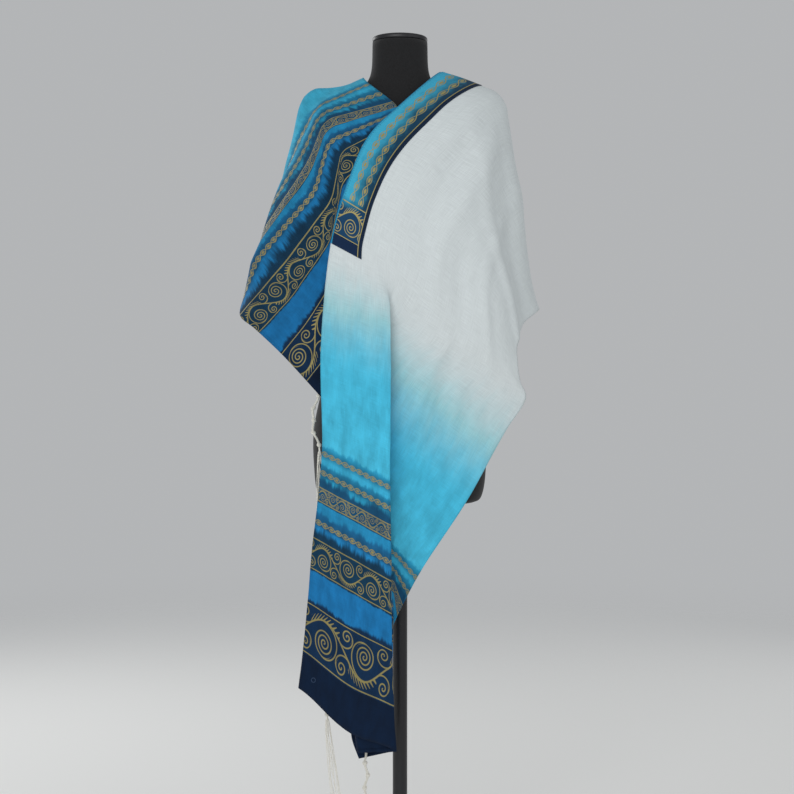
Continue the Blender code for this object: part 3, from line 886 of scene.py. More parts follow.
def smooth_rings(levels):
    """Heights, half widths, half depths and forward shifts on curves through the rings."""
    table = np.array(TORSO_RINGS, dtype=float) * MM
    slopes = np.gradient(table, axis=0)
    rows = []
    for place in np.linspace(0, len(table) - 1, levels):
        low = min(int(place), len(table) - 2)
        rows.append(Ring(*smooth_between(place - low, table[low], table[low + 1],
                                         slopes[low], slopes[low + 1])))
    return rows


# %% Wrap the torso
torso_mesh = bmesh.new()
bmesh.ops.create_grid(torso_mesh, x_segments=TORSO_SIDES, y_segments=TORSO_LEVELS - 1, size=1.0)
torso_rows = smooth_rings(TORSO_LEVELS)
for vertex in torso_mesh.verts:
    turn = (vertex.co.x + 1.0) * pi
    row = torso_rows[round((vertex.co.y + 1.0) / 2.0 * (TORSO_LEVELS - 1))]
    vertex.co = (row.half_width * cos(turn), row.half_depth * sin(turn) - row.forward, row.height)
bmesh.ops.remove_doubles(torso_mesh, verts=torso_mesh.verts, dist=MERGE_DISTANCE)
open_edges = [edge for edge in torso_mesh.edges if edge.is_boundary]
bmesh.ops.holes_fill(torso_mesh, edges=open_edges, sides=0)
bmesh.ops.recalc_face_normals(torso_mesh, faces=torso_mesh.faces)
for face in torso_mesh.faces:
    face.smooth = len(face.verts) == 4
torso = piece_from(torso_mesh, "torso_jersey")
print("torso", len(torso.data.polygons), "faces")

# %% [markdown]
# The neck ends in a low domed cap, and the stand below is a tube in a collar on a round steel
# base. These are turned shapes, so each is a short profile spun about the upright axis.


# %% Turned pieces
SHARP_ANGLE = 35
DOME_STEPS = 8


def turned(name, profile, centre=(0.0, 0.0), stretch=(1.0, 1.0), steps=96):
    """A profile of (radius, height) points, in metres, spun about the upright axis."""
    body = bmesh.new()
    spots = [body.verts.new((radius, 0.0, height)) for radius, height in profile]
    rim = [body.edges.new(pair) for pair in zip(spots[:-1], spots[1:])]
    bmesh.ops.spin(body, geom=[*spots, *rim], **FULL_TURN, steps=steps)
    bmesh.ops.remove_doubles(body, verts=body.verts, dist=MERGE_DISTANCE)
    bmesh.ops.scale(body, verts=body.verts, vec=(stretch[0], stretch[1], 1.0))
    bmesh.ops.translate(body, verts=body.verts, vec=(centre[0], centre[1], 0.0))
    bmesh.ops.recalc_face_normals(body, faces=body.faces)
    for face in body.faces:
        face.smooth = True
    piece = piece_from(body, name)
    piece.data.set_sharp_from_angle(angle=radians(SHARP_ANGLE))
    return piece


def rounded(radius, low, high, rounding, dome=0.0, steps=5):
    """The profile of a disc with rounded edges and, if asked, a domed top."""
    flat = radius - rounding
    points = [(0.0, low), (flat, low)]
    for step in range(1, steps + 1):
        angle = step / steps * pi / 2
        points.append((flat + rounding * sin(angle), low + rounding * (1 - cos(angle))))
    for step in range(steps + 1):
        angle = step / steps * pi / 2
        points.append((flat + rounding * cos(angle), high - rounding * (1 - sin(angle))))
    for step in range(1, DOME_STEPS + 1):
        part = step / DOME_STEPS
        points.append((flat * (1 - part), high + dome * (1 - (1 - part) ** 2)))
    return points


# %% Cap, tube, collar and base
DOME = 0.004

cap_low, cap_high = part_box("neck_cap")
pole_low, pole_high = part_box("stand_pole")
collar_low, collar_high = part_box("stand_collar")
base_low, base_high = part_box("stand_base")

cap_width = (cap_high[0] - cap_low[0]) / 2
cap_depth = (cap_high[1] - cap_low[1]) / 2
cap_middle = (cap_low[1] + cap_high[1]) / 2
neck_cap = turned("neck_cap_disc",
                  rounded(cap_width, cap_low[2], cap_high[2] - DOME, 0.004, dome=DOME),
                  centre=(0.0, cap_middle), stretch=(1.0, cap_depth / cap_width))
pole = turned("stand_tube", rounded(pole_high[0], pole_low[2], pole_high[2], 0.0006))
collar = turned("stand_ring", rounded(collar_high[0], collar_low[2], collar_high[2], 0.002))
base = turned("stand_foot", rounded(base_high[0], base_low[2], base_high[2] - DOME, 0.006,
                                    dome=DOME), steps=160)
print("stand foot", round(base_high[0] * 2, 3), "m across")

# %% [markdown]
# ## Dyed silk and wool
#
# The cloth is a plain weave of wool and silk, brush-dyed with water dyes and finished with gold
# lines drawn from a nib. Dye creeps along the threads, so each colour has a soft ragged edge on
# one side. The colours are laid from the white middle towards the ends, each one covering all
# that lies nearer the end than its edge, in the way that the dyer works. Both ends are alike, so
# the pattern reads the distance to the nearer end.

# %% Helpers for patterns on the flat cloth
def flat_place(tree):
    """The place on the flat cloth: run and across, both in metres, and the two as a vector."""
    layout = add_node(tree, "UVMap", uv_map="flat_cloth")
    place = add_node(tree, "VectorMath MULTIPLY", layout, (CLOTH_LENGTH,) * 3)
    run = add_node(tree, "SeparateXYZ", place, output=0)
    across = add_node(tree, "SeparateXYZ", place, output=1)
    return place, run, across


def streaked_noise(tree, place, run_scale, across_scale, detail=2.0):
    """Noise stretched along the run or across it, for threads and for dye that follows them."""
    stretched = add_node(tree, "VectorMath MULTIPLY", place, (run_scale, across_scale, 1.0))
    return add_node(tree, "TexNoise", stretched, 1.0, detail, 0.55, noise_dimensions="3D")


def thin_line(tree, distance, width):
    """1 on a line of this width, fading to 0 at its edges. Distance is from its middle."""
    size = add_node(tree, "Math ABSOLUTE", distance)
    inner = add_node(tree, "Math MULTIPLY", width, 0.30)
    outer = add_node(tree, "Math MULTIPLY", width, 0.70)
    return add_node(tree, "MapRange", size, inner, outer, 1.0, 0.0)


def brightest(tree, *masks):
    """The largest of several masks at each place."""
    whole = masks[0]
    for mask in masks[1:]:
        whole = add_node(tree, "Math MAXIMUM", whole, mask)
    return whole


# %% [markdown]
# The wide bands hold a running vine. It is a node group, so three bands of different height
# share one drawing: a wavy stem with short leaves on its outer side, a spiral that grows out of
# the stem into each bend, and a small one into each corner that the stem leaves free. All its
# sizes are in half heights of its band. Every second bend is the first one turned half round,
# which the sign of the wave gives for nothing.

# %% Two scrolls, and how a drawing starts and ends
# a scroll is a tight spiral with an arm that opens out to the stem
Scroll = namedtuple("Scroll", "coil reach start turns")     # radii, and turns from the x axis

BEND_SCROLL = Scroll(0.52, 0.86, -0.25, 0.55)
CORNER_SCROLL = Scroll(0.28, 0.49, 0.47, 0.40)
print("scrolls:", BEND_SCROLL, CORNER_SCROLL)


def new_drawing(name, inputs):
    """A node group with number inputs and one output, Gold. Returns it and its two ends."""
    drawing = bpy.data.node_groups.new(name, "ShaderNodeTree")
    for socket in inputs:
        drawing.interface.new_socket(socket, in_out="INPUT", socket_type="NodeSocketFloat")
    drawing.interface.new_socket("Gold", in_out="OUTPUT", socket_type="NodeSocketFloat")
    return (drawing, drawing.nodes.new("NodeGroupInput").outputs,
            drawing.nodes.new("NodeGroupOutput").inputs)


def in_half_heights(drawing, ends):
    """A drawing's Along, Over and Line, divided by its Half Height."""
    return [add_node(drawing, "Math DIVIDE", ends[name], ends["Half Height"])
            for name in ("Along", "Over", "Line")]


def finish_drawing(drawing, ends, over, limit, *masks):
    """Sends out the brightest of the masks, cut off at this distance from the middle."""
    drawn = brightest(drawing, *masks)
    height = add_node(drawing, "Math ABSOLUTE", over)
    inside = add_node(drawing, "Math LESS_THAN", height, limit)
    gold = add_node(drawing, "Math MULTIPLY", drawn, inside)
    drawing.links.new(gold, ends["Gold"])


# %% The line of a scroll
def within_repeat(tree, turns):
    """How far a count of repeats is from the middle of its own one, from -0.5 to 0.5."""
    part = add_node(tree, "Math FRACT", turns)
    return add_node(tree, "Math SUBTRACT", part, 0.5)


def plane_length(tree, first, second):
    """The distance of a pair from its origin."""
    flat_vector = add_node(tree, "CombineXYZ", first, second)
    return add_node(tree, "VectorMath LENGTH", flat_vector)


def scroll_line(tree, first, second, scroll, pitch, width):
    """1 on the line of a scroll round this pair's origin."""
    opening = (scroll.reach - scroll.coil) / scroll.turns
    radius = plane_length(tree, first, second)
    angle = add_node(tree, "Math ARCTAN2", second, first)
    coiled = add_node(tree, "Math MINIMUM", radius, scroll.coil)
    coiled = add_node(tree, "Math SUBTRACT", coiled, scroll.coil)
    coiled = add_node(tree, "Math DIVIDE", coiled, pitch)
    opened = add_node(tree, "Math MAXIMUM", radius, scroll.coil)
    opened = add_node(tree, "Math SUBTRACT", opened, scroll.coil)
    winding = add_node(tree, "Math MULTIPLY_ADD", opened, 1 / opening, coiled)
    winding = add_node(tree, "Math MULTIPLY_ADD", angle, -1 / tau, winding)
    winding = add_node(tree, "Math ADD", winding, scroll.start + 0.5)
    winding = within_repeat(tree, winding)
    on_arm = add_node(tree, "Math GREATER_THAN", radius, scroll.coil)
    spacing = add_node(tree, "MapRange", on_arm, 0.0, 1.0, pitch, opening)
    from_line = add_node(tree, "Math MULTIPLY", winding, spacing)
    inside = add_node(tree, "Math LESS_THAN", radius, scroll.reach)
    return add_node(tree, "Math MULTIPLY", thin_line(tree, from_line, width), inside)


# %% The running vine
STEM_HALF_WAVE = 2.15
STEM_SWING = 0.66
STEM_WEIGHT = 1.25              # the stem's line, in widths of the others
SPIRAL_DROP = 0.20
CORNER_ASIDE = 0.08
CORNER_HEIGHT = 0.60
CORNER_PITCH = 0.17
LEAF_REACH = 0.24
LEAF_PITCH = 0.17
LEAF_SLANT = 0.9
LEAF_ROOT, LEAF_TIP = 1.7, 0.5  # widths, in widths of the line
LEAF_SPREAD = 0.42              # leaves grow where the wave is beyond this

vine, vine_in, vine_out = new_drawing(
    "running_vine", ("Along", "Over", "Half Height", "Line", "Spiral Pitch"))
x, y, line = in_half_heights(vine, vine_in)

# the stem, with its distance set right where it runs steeply
stem_angle = add_node(vine, "Math MULTIPLY", x, pi / STEM_HALF_WAVE)
wave = add_node(vine, "Math SINE", stem_angle)
climb = add_node(vine, "Math COSINE", stem_angle)
slope = add_node(vine, "Math MULTIPLY", climb, STEM_SWING * pi / STEM_HALF_WAVE)
steepness = add_node(vine, "Math MULTIPLY_ADD", slope, slope, 1.0)
steepness = add_node(vine, "Math SQRT", steepness)
from_stem = add_node(vine, "Math MULTIPLY_ADD", wave, -STEM_SWING, y)
from_stem = add_node(vine, "Math DIVIDE", from_stem, steepness)
heavy_line = add_node(vine, "Math MULTIPLY", line, STEM_WEIGHT)
stem = thin_line(vine, from_stem, heavy_line)


def cell_place(shift):
    """Distance along the band from the middle of its half wave, or from where the stem crosses."""
    cell = add_node(vine, "Math MULTIPLY_ADD", x, 1 / STEM_HALF_WAVE, shift)
    return add_node(vine, "Math MULTIPLY", within_repeat(vine, cell), STEM_HALF_WAVE)


# a spiral in each bend, turned half round in every second one
side = add_node(vine, "Math SIGN", wave)
bend_x = add_node(vine, "Math MULTIPLY", cell_place(0.0), side)
bend_y = add_node(vine, "Math MULTIPLY_ADD", y, side, SPIRAL_DROP)
spiral = scroll_line(vine, bend_x, bend_y, BEND_SCROLL, vine_in["Spiral Pitch"], line)

# a small spiral in each corner, mirrored where the stem comes down
rising = add_node(vine, "Math SIGN", climb)
upper = add_node(vine, "Math SIGN", y)
corner_x = add_node(vine, "Math MULTIPLY", cell_place(0.5), rising)
corner_x = add_node(vine, "Math MULTIPLY_ADD", corner_x, upper, CORNER_ASIDE)
corner_y = add_node(vine, "Math ABSOLUTE", y)
corner_y = add_node(vine, "Math SUBTRACT", corner_y, CORNER_HEIGHT)
corner = scroll_line(vine, corner_x, corner_y, CORNER_SCROLL, CORNER_PITCH, line)

# short slanting leaves outside the stem, thinner towards their tips
leaf_side = add_node(vine, "Math MULTIPLY", from_stem, side)
leaf_x = add_node(vine, "Math MULTIPLY_ADD", leaf_side, -LEAF_SLANT, x)
leaf_x = add_node(vine, "Math PINGPONG", leaf_x, LEAF_PITCH)
leaf_x = add_node(vine, "Math SUBTRACT", leaf_x, LEAF_PITCH / 2)
leaf_width = add_node(vine, "MapRange", leaf_side, 0.0, LEAF_REACH, LEAF_ROOT, LEAF_TIP)
leaf_width = add_node(vine, "Math MULTIPLY", leaf_width, line)
leaf = thin_line(vine, leaf_x, leaf_width)
rooted = add_node(vine, "Math GREATER_THAN", leaf_side, 0.0)
ended = add_node(vine, "Math LESS_THAN", leaf_side, LEAF_REACH)
outer_bend = add_node(vine, "Math ABSOLUTE", wave)
outer_bend = add_node(vine, "Math GREATER_THAN", outer_bend, LEAF_SPREAD)
for limit in (rooted, ended, outer_bend):
    leaf = add_node(vine, "Math MULTIPLY", leaf, limit)

finish_drawing(vine, vine_out, y, 1.0, stem, spiral, corner, leaf)
print("vine drawing:", len(vine.nodes), "nodes")

# %% [markdown]
# Between the bands run thin stripes of two gold threads that cross again and again, with a dot
# in each eye. The same braid, drawn larger, fills the neckband.

# %% The braided stripe
# all in half heights
EYE_LENGTH = 3.4
EYE_DOT = 0.40
DOT_STRETCH = 1.9               # a dot's length, in widths of it
THREAD_SWING = 0.8
BRAID_HEIGHT = 1.2

braid, braid_in, braid_out = new_drawing(
    "braided_stripe", ("Along", "Over", "Half Height", "Line"))
x, y, line = in_half_heights(braid, braid_in)
wave = add_node(braid, "Math MULTIPLY", x, pi / EYE_LENGTH)
wave = add_node(braid, "Math SINE", wave)
threads = []
for swing in (THREAD_SWING, -THREAD_SWING):
    from_thread = add_node(braid, "Math MULTIPLY_ADD", wave, swing, y)
    threads.append(thin_line(braid, from_thread, line))
eyes = add_node(braid, "Math DIVIDE", x, EYE_LENGTH)
eye_x = add_node(braid, "Math MULTIPLY", within_repeat(braid, eyes), EYE_LENGTH / DOT_STRETCH)
eye_radius = plane_length(braid, eye_x, y)
dot = add_node(braid, "MapRange", eye_radius, EYE_DOT * 0.7, EYE_DOT * 1.3, 1.0, 0.0)
finish_drawing(braid, braid_out, y, BRAID_HEIGHT, *threads, dot)
print("braid drawing:", len(braid.nodes), "nodes")

# %% [markdown]
# A thread of this weave is 0.4 mm, finer than a view of the whole shawl can show, so the slubs,
# the thicker lengths of thread, are drawn 1.1 mm wide. They give the cloth its faint lines both
# ways and a soft, matt, slightly silky face.

# %% The weave
SLUB_WIDTH = 0.0011
SLUB_LENGTH = 0.035
WEAVE_DEPTH = 0.00025
GOLD_PAINT = "9C9058"
CLOTH_ROUGHNESS = 0.82
GOLD_ROUGHNESS = 0.46           # bronze powder in a clear binder has a soft shine
GOLD_METAL = 0.2


def weave_height(tree, place):
    """Height of the threads: slubs along the run and slubs across it."""
    along = streaked_noise(tree, place, 1 / SLUB_LENGTH, 1 / SLUB_WIDTH)
    over = streaked_noise(tree, place, 1 / SLUB_WIDTH, 1 / SLUB_LENGTH)
    return add_node(tree, "Math ADD", along, over)


def finish_cloth(tree, shader, place, colour, gold, relief=None):
    """Joins the dye, the gold and the weave to the cloth's shader."""
    height = weave_height(tree, place)
    slub_tone = add_node(tree, "MapRange", height, 0.75, 1.25, 0.90, 1.06)
    if relief is not None:
        height = add_node(tree, "Math ADD", height, relief)
    toned = add_node(tree, "Mix RGBA", 1.0, colour, slub_tone, blend_type="MULTIPLY")
    painted = add_node(tree, "Mix RGBA", gold, toned, linear(GOLD_PAINT))
    tree.links.new(painted, shader.inputs["Base Color"])
    roughness = add_node(tree, "MapRange", gold, 0.0, 1.0, CLOTH_ROUGHNESS, GOLD_ROUGHNESS)
    tree.links.new(roughness, shader.inputs["Roughness"])
    metal = add_node(tree, "Math MULTIPLY", gold, GOLD_METAL)
    tree.links.new(metal, shader.inputs["Metallic"])
    bump = add_node(tree, "Bump", 0.6, WEAVE_DEPTH, None, height)
    tree.links.new(bump, shader.inputs["Normal"])


print(f"slubs {SLUB_WIDTH / MM:.1f} mm wide and {SLUB_LENGTH / MM:.0f} mm long")

# %% The dyer's colours
# edge: distance from the end that the dye reaches; bleed: how far it creeps past, in metres
Dye = namedtuple("Dye", "edge bleed colour")

DYES = (
    Dye(0.458, 0.020, "2C98C0"),
    Dye(0.444, 0.004, "3AADD4"),
    Dye(0.422, 0.018, "237FA6"),
    Dye(0.407, 0.004, "2C9AC2"),
    Dye(0.388, 0.036, "154E72"),
    Dye(0.358, 0.004, "268DBE"),
    Dye(0.332, 0.022, "1B6492"),
    Dye(0.317, 0.005, "2285C2"),
    Dye(0.295, 0.036, "103954"),
    Dye(0.228, 0.008, "1B76B2"),
    Dye(0.163, 0.020, "0E2E4E"),
    Dye(0.067, 0.003, "061C36"),
)
WHITE_CLOTH = "D3DADB"
AQUA_DYE = "9BCED6"              # the sky blue where it thins out
SKY_DYE = "49BEE0"
SKY_FULL = 0.615                # all sky blue from here to the end
SKY_GONE = 0.905                # all white past here
BANDS_END = 0.46                # past here the dye clouds grow fainter
RIGHT_SHADE_START, RIGHT_SHADE_FULL = 1.60, 1.70      # runs between which the painted shade on the right end grows to full
HEM_RELIEF = 1.6                # in depths of the weave
HEM_STEP = 0.0006               # over which the doubled edge ends
HEM_STITCH_INSET = 0.001
HEM_STITCH_WIDTH = 0.0012
print(len(DYES), "dyes from the white middle to the end")

# %% Sizes of the gold bands, and how the dyes run
# both borders of each vine band and its line's width in metres, the spirals' pitch in half heights
VineBand = namedtuple("VineBand", "low high line pitch")
VINE_BANDS = (
    VineBand(0.071, 0.162, 0.0024, 0.170),
    VineBand(0.236, 0.294, 0.0018, 0.200),
    VineBand(0.363, 0.387, 0.0011, 0.300),
)
STRIPES = (0.325, 0.415, 0.451)
STRIPE_HALF_HEIGHT = 0.0052
STRIPE_LINE = 0.0019
SMUDGE_REACH = 0.0125           # the dye that the damp gold line pushed out to both sides
SMUDGE_DEPTH = 0.45
SMUDGE = "1B4A66"
EDGE_DYE = "2F92BA"
RIGHT_END_SHADE_TINT = "DCE8EA"               # painted shade: multiplies the colours of the right end so that it looks less lit
BORDER_HALF_WIDTH = 0.0010
DRY_SHARE = 0.3                 # of a dye's bleed that it always reaches
SOAKED_SHARE = 0.35             # of the way to its ragged edge over which a dye stays full

# how often each pattern changes in a metre of run and of width, and its detail
FINE_FINGERS = (26.0, 120.0, 4.0)
BROAD_FINGERS = (14.0, 34.0, 2.0)
DYE_CLOUDS = (22.0, 44.0, 3.0)
BROAD_SHARE = 0.55
SKY_CREEP = 0.014
CLOUD_DARK, CLOUD_LIGHT = 0.78, 1.14
print(len(VINE_BANDS), "vine bands and", len(STRIPES), "stripes at each end")

# %% Dyes of the shawl
dyed_cloth, tree, shader = new_material("brush_dyed_wool_silk", sheen_weight=0.03,
                                       specular_ior_level=0.15)
place, run, across = flat_place(tree)
end = add_node(tree, "Math PINGPONG", run, CLOTH_LENGTH / 2)

fine_fingers = streaked_noise(tree, place, *FINE_FINGERS)
broad_fingers = streaked_noise(tree, place, *BROAD_FINGERS)
fingers = add_node(tree, "Mix", BROAD_SHARE, fine_fingers, broad_fingers)
fingers = add_node(tree, "MapRange", fingers, 0.38, 0.62, 0.0, 1.0)
clouds = streaked_noise(tree, place, *DYE_CLOUDS)
soft_end = add_node(tree, "Math MULTIPLY_ADD", fingers, SKY_CREEP, end)
sky = add_node(tree, "MapRange", soft_end, SKY_FULL, SKY_GONE, 1.0, 0.0,
               interpolation_type="SMOOTHERSTEP")
aqua = add_node(tree, "Math MULTIPLY", sky, 2.0)
full_sky = add_node(tree, "Math SUBTRACT", aqua, 1.0)
colour = add_node(tree, "Mix RGBA", aqua, linear(WHITE_CLOTH), linear(AQUA_DYE))
colour = add_node(tree, "Mix RGBA", full_sky, colour, linear(SKY_DYE))
for dye in DYES:
    reach = add_node(tree, "Math MULTIPLY_ADD", fingers, dye.bleed * (1 - DRY_SHARE),
                     dye.edge + dye.bleed * DRY_SHARE)
    soaked = add_node(tree, "Mix", SOAKED_SHARE, dye.edge, reach)
    wet = add_node(tree, "MapRange", end, soaked, reach, 1.0, 0.0, interpolation_type="SMOOTHSTEP")
    colour = add_node(tree, "Mix RGBA", wet, colour, linear(dye.colour))
for stripe in STRIPES:
    from_stripe = add_node(tree, "Math SUBTRACT", end, stripe)
    from_stripe = add_node(tree, "Math ABSOLUTE", from_stripe)
    smudge = add_node(tree, "MapRange", from_stripe, STRIPE_HALF_HEIGHT, SMUDGE_REACH,
                      SMUDGE_DEPTH, 0.0)
    colour = add_node(tree, "Mix RGBA", smudge, colour, linear(SMUDGE))
watery = add_node(tree, "MapRange", clouds, 0.32, 0.68, CLOUD_DARK, CLOUD_LIGHT)
dyed_part = add_node(tree, "MapRange", end, BANDS_END, SKY_GONE, 1.0, 0.0)
watery_colour = add_node(tree, "Mix RGBA", 1.0, colour, watery, blend_type="MULTIPLY")
colour = add_node(tree, "Mix RGBA", dyed_part, colour, watery_colour)
# painted shade: the right end is dyed like the left, and its colours are darkened so that it looks
# less lit
right_shade_share = add_node(tree, "MapRange", run, RIGHT_SHADE_START, RIGHT_SHADE_FULL, 0.0, 1.0)
right_end_shaded = add_node(tree, "Mix RGBA", 1.0, colour, linear(RIGHT_END_SHADE_TINT), blend_type="MULTIPLY")
colour = add_node(tree, "Mix RGBA", right_shade_share, colour, right_end_shaded)

# the edge that shows past the neckband is dyed with it
in_band_run = add_node(tree, "Math COMPARE", run, CLOTH_LENGTH / 2, (BAND_END - BAND_START) / 2)
at_neck_edge = add_node(tree, "Math LESS_THAN", across, BAND_INSET * 2)
edge_dye = add_node(tree, "Math MULTIPLY", in_band_run, at_neck_edge)
colour = add_node(tree, "Mix RGBA", edge_dye, colour, linear(EDGE_DYE))
print("shawl dyes:", len(tree.nodes), "nodes")

# %% Gold lines of the shawl
gold_parts = []
for band in VINE_BANDS:
    middle = (band.low + band.high) / 2
    half = (band.high - band.low) / 2
    over = add_node(tree, "Math SUBTRACT", end, middle)
    gold_parts.append(add_node(tree, "Group", across, over, half, band.line, band.pitch,
                               node_tree=vine))
    for border in (band.low, band.high):
        gold_parts.append(add_node(tree, "Math COMPARE", end, border, BORDER_HALF_WIDTH))
for stripe in STRIPES:
    over = add_node(tree, "Math SUBTRACT", end, stripe)
    gold_parts.append(add_node(tree, "Group", across, over, STRIPE_HALF_HEIGHT, STRIPE_LINE,
                               node_tree=braid))
gold = brightest(tree, *gold_parts)
gold_wear = add_node(tree, "MapRange", clouds, 0.30, 0.65, 0.70, 1.0)
gold = add_node(tree, "Math MULTIPLY", gold, gold_wear)
print(len(gold_parts), "gold drawings and border lines")

# %% Turned hem of the shawl
# a doubled edge that stands up a little, and a sunk line where it is stitched
far_edge = add_node(tree, "Math MULTIPLY_ADD", across, -1.0, CLOTH_WIDTH)
edge = add_node(tree, "Math MINIMUM", across, far_edge)
edge = add_node(tree, "Math MINIMUM", edge, end)
doubled = add_node(tree, "MapRange", edge, HEM_WIDTH, HEM_WIDTH + HEM_STEP, HEM_RELIEF, 0.0)
from_seam = add_node(tree, "Math SUBTRACT", edge, HEM_WIDTH - HEM_STITCH_INSET)
sunk = add_node(tree, "Math MULTIPLY", thin_line(tree, from_seam, HEM_STITCH_WIDTH), -HEM_RELIEF)
relief = add_node(tree, "Math ADD", doubled, sunk)
finish_cloth(tree, shader, place, colour, gold, relief)
for piece in (shawl, *hems):
    piece.data.materials.append(dyed_cloth)
print("shawl dyes, gold and weave:", len(tree.nodes), "nodes")

# %% [markdown]
# The neckband is dyed from sky blue at the neck edge to navy at its outer edge, and is darker
# at its two ends. A gold line runs inside the navy edge. Two rows of braid fill the middle, and
# one bend of the vine closes each end.

# %% Dyes of the neckband
BAND_MIDDLE = (BAND_START + BAND_END) / 2
BAND_HALF_LENGTH = (BAND_END - BAND_START) / 2
END_NAVY = 0.028                # from the band's end
END_PANEL = 0.092
ROWS = (0.024, 0.047)           # across the cloth
ROW_HALF_HEIGHT = 0.0068
OUTER_LINE = 0.0655
BAND_LINE = 0.0018
PANEL_PITCH = 0.19
PANEL_CLEAR = 0.006             # between the braid and the end panel
BAND_CLOUDS = (30.0, 45.0, 3.0)
CLOUD_SHIFT = 0.010

band_cloth, tree, shader = new_material("dyed_silk_neckband", sheen_weight=0.03,
                                       specular_ior_level=0.2)
place, run, across = flat_place(tree)
from_middle = add_node(tree, "Math SUBTRACT", run, BAND_MIDDLE)
from_middle = add_node(tree, "Math ABSOLUTE", from_middle)
band_end = add_node(tree, "Math MULTIPLY_ADD", from_middle, -1.0, BAND_HALF_LENGTH)
clouds = streaked_noise(tree, place, *BAND_CLOUDS)
shift = add_node(tree, "MapRange", clouds, 0.3, 0.7, -CLOUD_SHIFT, CLOUD_SHIFT)
shade_place = add_node(tree, "Math ADD", across, shift)

# each dye grows or fades between two places, in metres, and covers the ones before it
colour = linear("3DAACC")
for distance, start, stop, at_start, at_stop, dye in (
    (shade_place, 0.018, 0.056, 0.0, 1.0, "113B55"),
    (band_end, END_PANEL - 0.012, END_PANEL + 0.010, 1.0, 0.0, "143F62"),
    (band_end, END_NAVY, END_NAVY + 0.003, 1.0, 0.0, "0B2545"),
    (across, OUTER_LINE, OUTER_LINE + 0.001, 0.0, 1.0, "0C2038"),
):
    share = add_node(tree, "MapRange", distance, start, stop, at_start, at_stop)
    colour = add_node(tree, "Mix RGBA", share, colour, linear(dye))
print("neckband dyes:", len(tree.nodes), "nodes")

# %% Gold of the neckband
beyond_panel = add_node(tree, "Math GREATER_THAN", band_end, END_PANEL + PANEL_CLEAR)
inside_line = add_node(tree, "Math LESS_THAN", across, OUTER_LINE)
gold_parts = [add_node(tree, "Math COMPARE", across, OUTER_LINE, BAND_LINE / 2)]
for border in (END_NAVY, END_PANEL):
    bar = add_node(tree, "Math COMPARE", band_end, border, BAND_LINE / 2)
    gold_parts.append(add_node(tree, "Math MULTIPLY", bar, inside_line))
for row in ROWS:
    over = add_node(tree, "Math SUBTRACT", across, row)
    drawn = add_node(tree, "Group", run, over, ROW_HALF_HEIGHT, BAND_LINE, node_tree=braid)
    gold_parts.append(add_node(tree, "Math MULTIPLY", drawn, beyond_panel))

# one bend of the vine, centred on the end panel
panel_middle = (END_NAVY + END_PANEL) / 2
panel_half = (END_PANEL - END_NAVY) / 2
bend_start = BAND_INSET + BAND_WIDTH / 2 - panel_half * STEM_HALF_WAVE / 2
over = add_node(tree, "Math SUBTRACT", band_end, panel_middle)
along = add_node(tree, "Math SUBTRACT", across, bend_start)
drawn = add_node(tree, "Group", along, over, panel_half, BAND_LINE, PANEL_PITCH, node_tree=vine)
gold_parts.append(add_node(tree, "Math MULTIPLY", drawn, inside_line))
gold = brightest(tree, *gold_parts)
finish_cloth(tree, shader, place, colour, gold)
neckband.data.materials.append(band_cloth)
print("neckband dyes, gold and weave:", len(tree.nodes), "nodes")

# %% [markdown]
# ## Cord, jersey and painted steel
#
# The tassel threads are undyed wool yarn: off-white, matt and a little uneven in tone. The
# form's jersey is a fine black knit, whose loops only soften its shine. The stand is steel with
# black powder paint, which dries with a faint orange-peel face.

# %% Undyed wool yarn
# spots in a metre: the spinner's uneven tone, and the fuzz of single fibres
YARN_TONE = 420.0
YARN_FUZZ = 2200.0
THREAD_TONE = 900.0
FUZZ_DEPTH = 0.0002

yarn, tree, shader = new_material("undyed_wool_yarn", roughness=0.9, sheen_weight=0.3)
where = add_node(tree, "TexCoord", output=3)
tone = add_node(tree, "TexNoise", where, YARN_TONE, 2.0, 0.5)
shade = add_node(tree, "MapRange", tone, 0.3, 0.7, 0.0, 1.0)
colour = add_node(tree, "Mix RGBA", shade, linear("E2DFD4"), linear("F6F4EC"))
tree.links.new(colour, shader.inputs["Base Color"])
fibre = add_node(tree, "TexNoise", where, YARN_FUZZ, 2.0, 0.5)
fuzz = add_node(tree, "Bump", 0.4, FUZZ_DEPTH, None, fibre)
tree.links.new(fuzz, shader.inputs["Normal"])
for cords in tassels:
    cords.data.materials.append(yarn)
print("yarn:", len(tree.nodes), "nodes")

# %% Navy thread of the eyelets and stitches
# plied silk lies close and smooth, so it is a dark thread with a little shine
thread, tree, shader = new_material("navy_silk_thread", roughness=0.6)
where = add_node(tree, "TexCoord", output=3)
tone = add_node(tree, "TexNoise", where, THREAD_TONE, 2.0, 0.5)
colour = add_node(tree, "Mix RGBA", tone, linear("0B2340"), linear("1B3D62"))
tree.links.new(colour, shader.inputs["Base Color"])
for piece in (stitches, *eyelets):
    piece.data.materials.append(thread)
print("thread:", len(tree.nodes), "nodes")

# %% Black jersey
KNIT_PITCH = 0.0016             # a knit stitch is 0.8 mm, drawn twice as coarse to show
KNIT_DEPTH = 0.0004

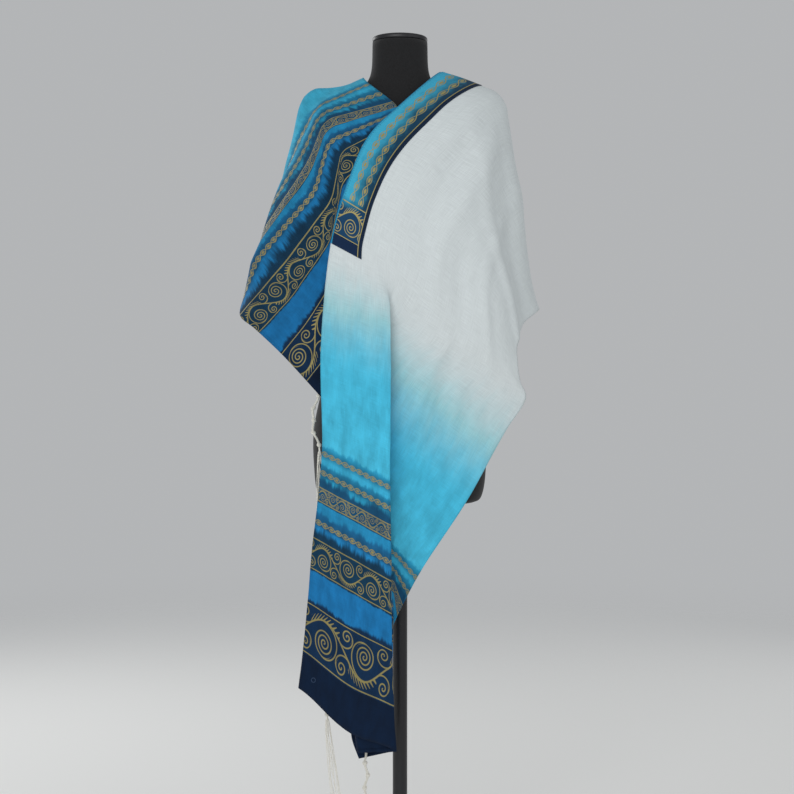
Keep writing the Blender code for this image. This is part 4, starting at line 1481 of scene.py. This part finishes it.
jersey, tree, shader = new_material("black_cotton_jersey", roughness=0.92, sheen_weight=0.08)
where = add_node(tree, "TexCoord", output=3)
stretched = add_node(tree, "VectorMath MULTIPLY", where,
                     (1 / KNIT_PITCH, 1 / KNIT_PITCH, 0.45 / KNIT_PITCH))
loops = add_node(tree, "TexNoise", stretched, 1.0, 1.0, 0.5)
shade = add_node(tree, "MapRange", loops, 0.3, 0.7, 0.0, 1.0)
colour = add_node(tree, "Mix RGBA", shade, linear("0A0A0C"), linear("161618"))
tree.links.new(colour, shader.inputs["Base Color"])
knit = add_node(tree, "Bump", 0.5, KNIT_DEPTH, None, loops)
tree.links.new(knit, shader.inputs["Normal"])
torso.data.materials.append(jersey)
print("jersey:", len(tree.nodes), "nodes")

# %% Black powder paint
PEEL_SIZE = 0.0025
PEEL_DEPTH = 0.0003

paint, tree, shader = new_material("black_powder_paint", roughness=0.42, metallic=0.0)
shader.inputs["Base Color"].default_value = linear("16161A")
where = add_node(tree, "TexCoord", output=3)
peel = add_node(tree, "TexNoise", where, 1 / PEEL_SIZE, 1.0, 0.5)
skin = add_node(tree, "Bump", 0.12, PEEL_DEPTH, None, peel)
tree.links.new(skin, shader.inputs["Normal"])
for piece in (neck_cap, pole, collar, base):
    piece.data.materials.append(paint)
print("materials:", [material.name for material in bpy.data.materials])

# %% [markdown]
# ## Joining the pieces to the frame
#
# Every piece stands for the frame's solid of the same thing and rides on its one body.

# %% Which piece stands for which solid
stands_for = (
    (shawl, ("shawl_front", "shawl_back", "shawl_right_end"), "dyed_cloth"),
    (neckband, ("neckband",), "band_cloth"),
    *((cords, (tassel.node,), "tassel_cord") for cords, tassel in zip(tassels, TASSELS)),
    (torso, ("form_torso",), "black_jersey"),
    (neck_cap, ("neck_cap",), "black_paint"),
    (pole, ("stand_pole",), "black_paint"),
    (collar, ("stand_collar",), "black_paint"),
    (base, ("stand_base",), "black_paint"),
)
for piece, nodes, finish in stands_for:
    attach(piece, "root")
    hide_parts(*nodes)
for strip in hems:
    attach(strip, "root")
for piece in (stitches, *eyelets):
    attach(piece, "root")
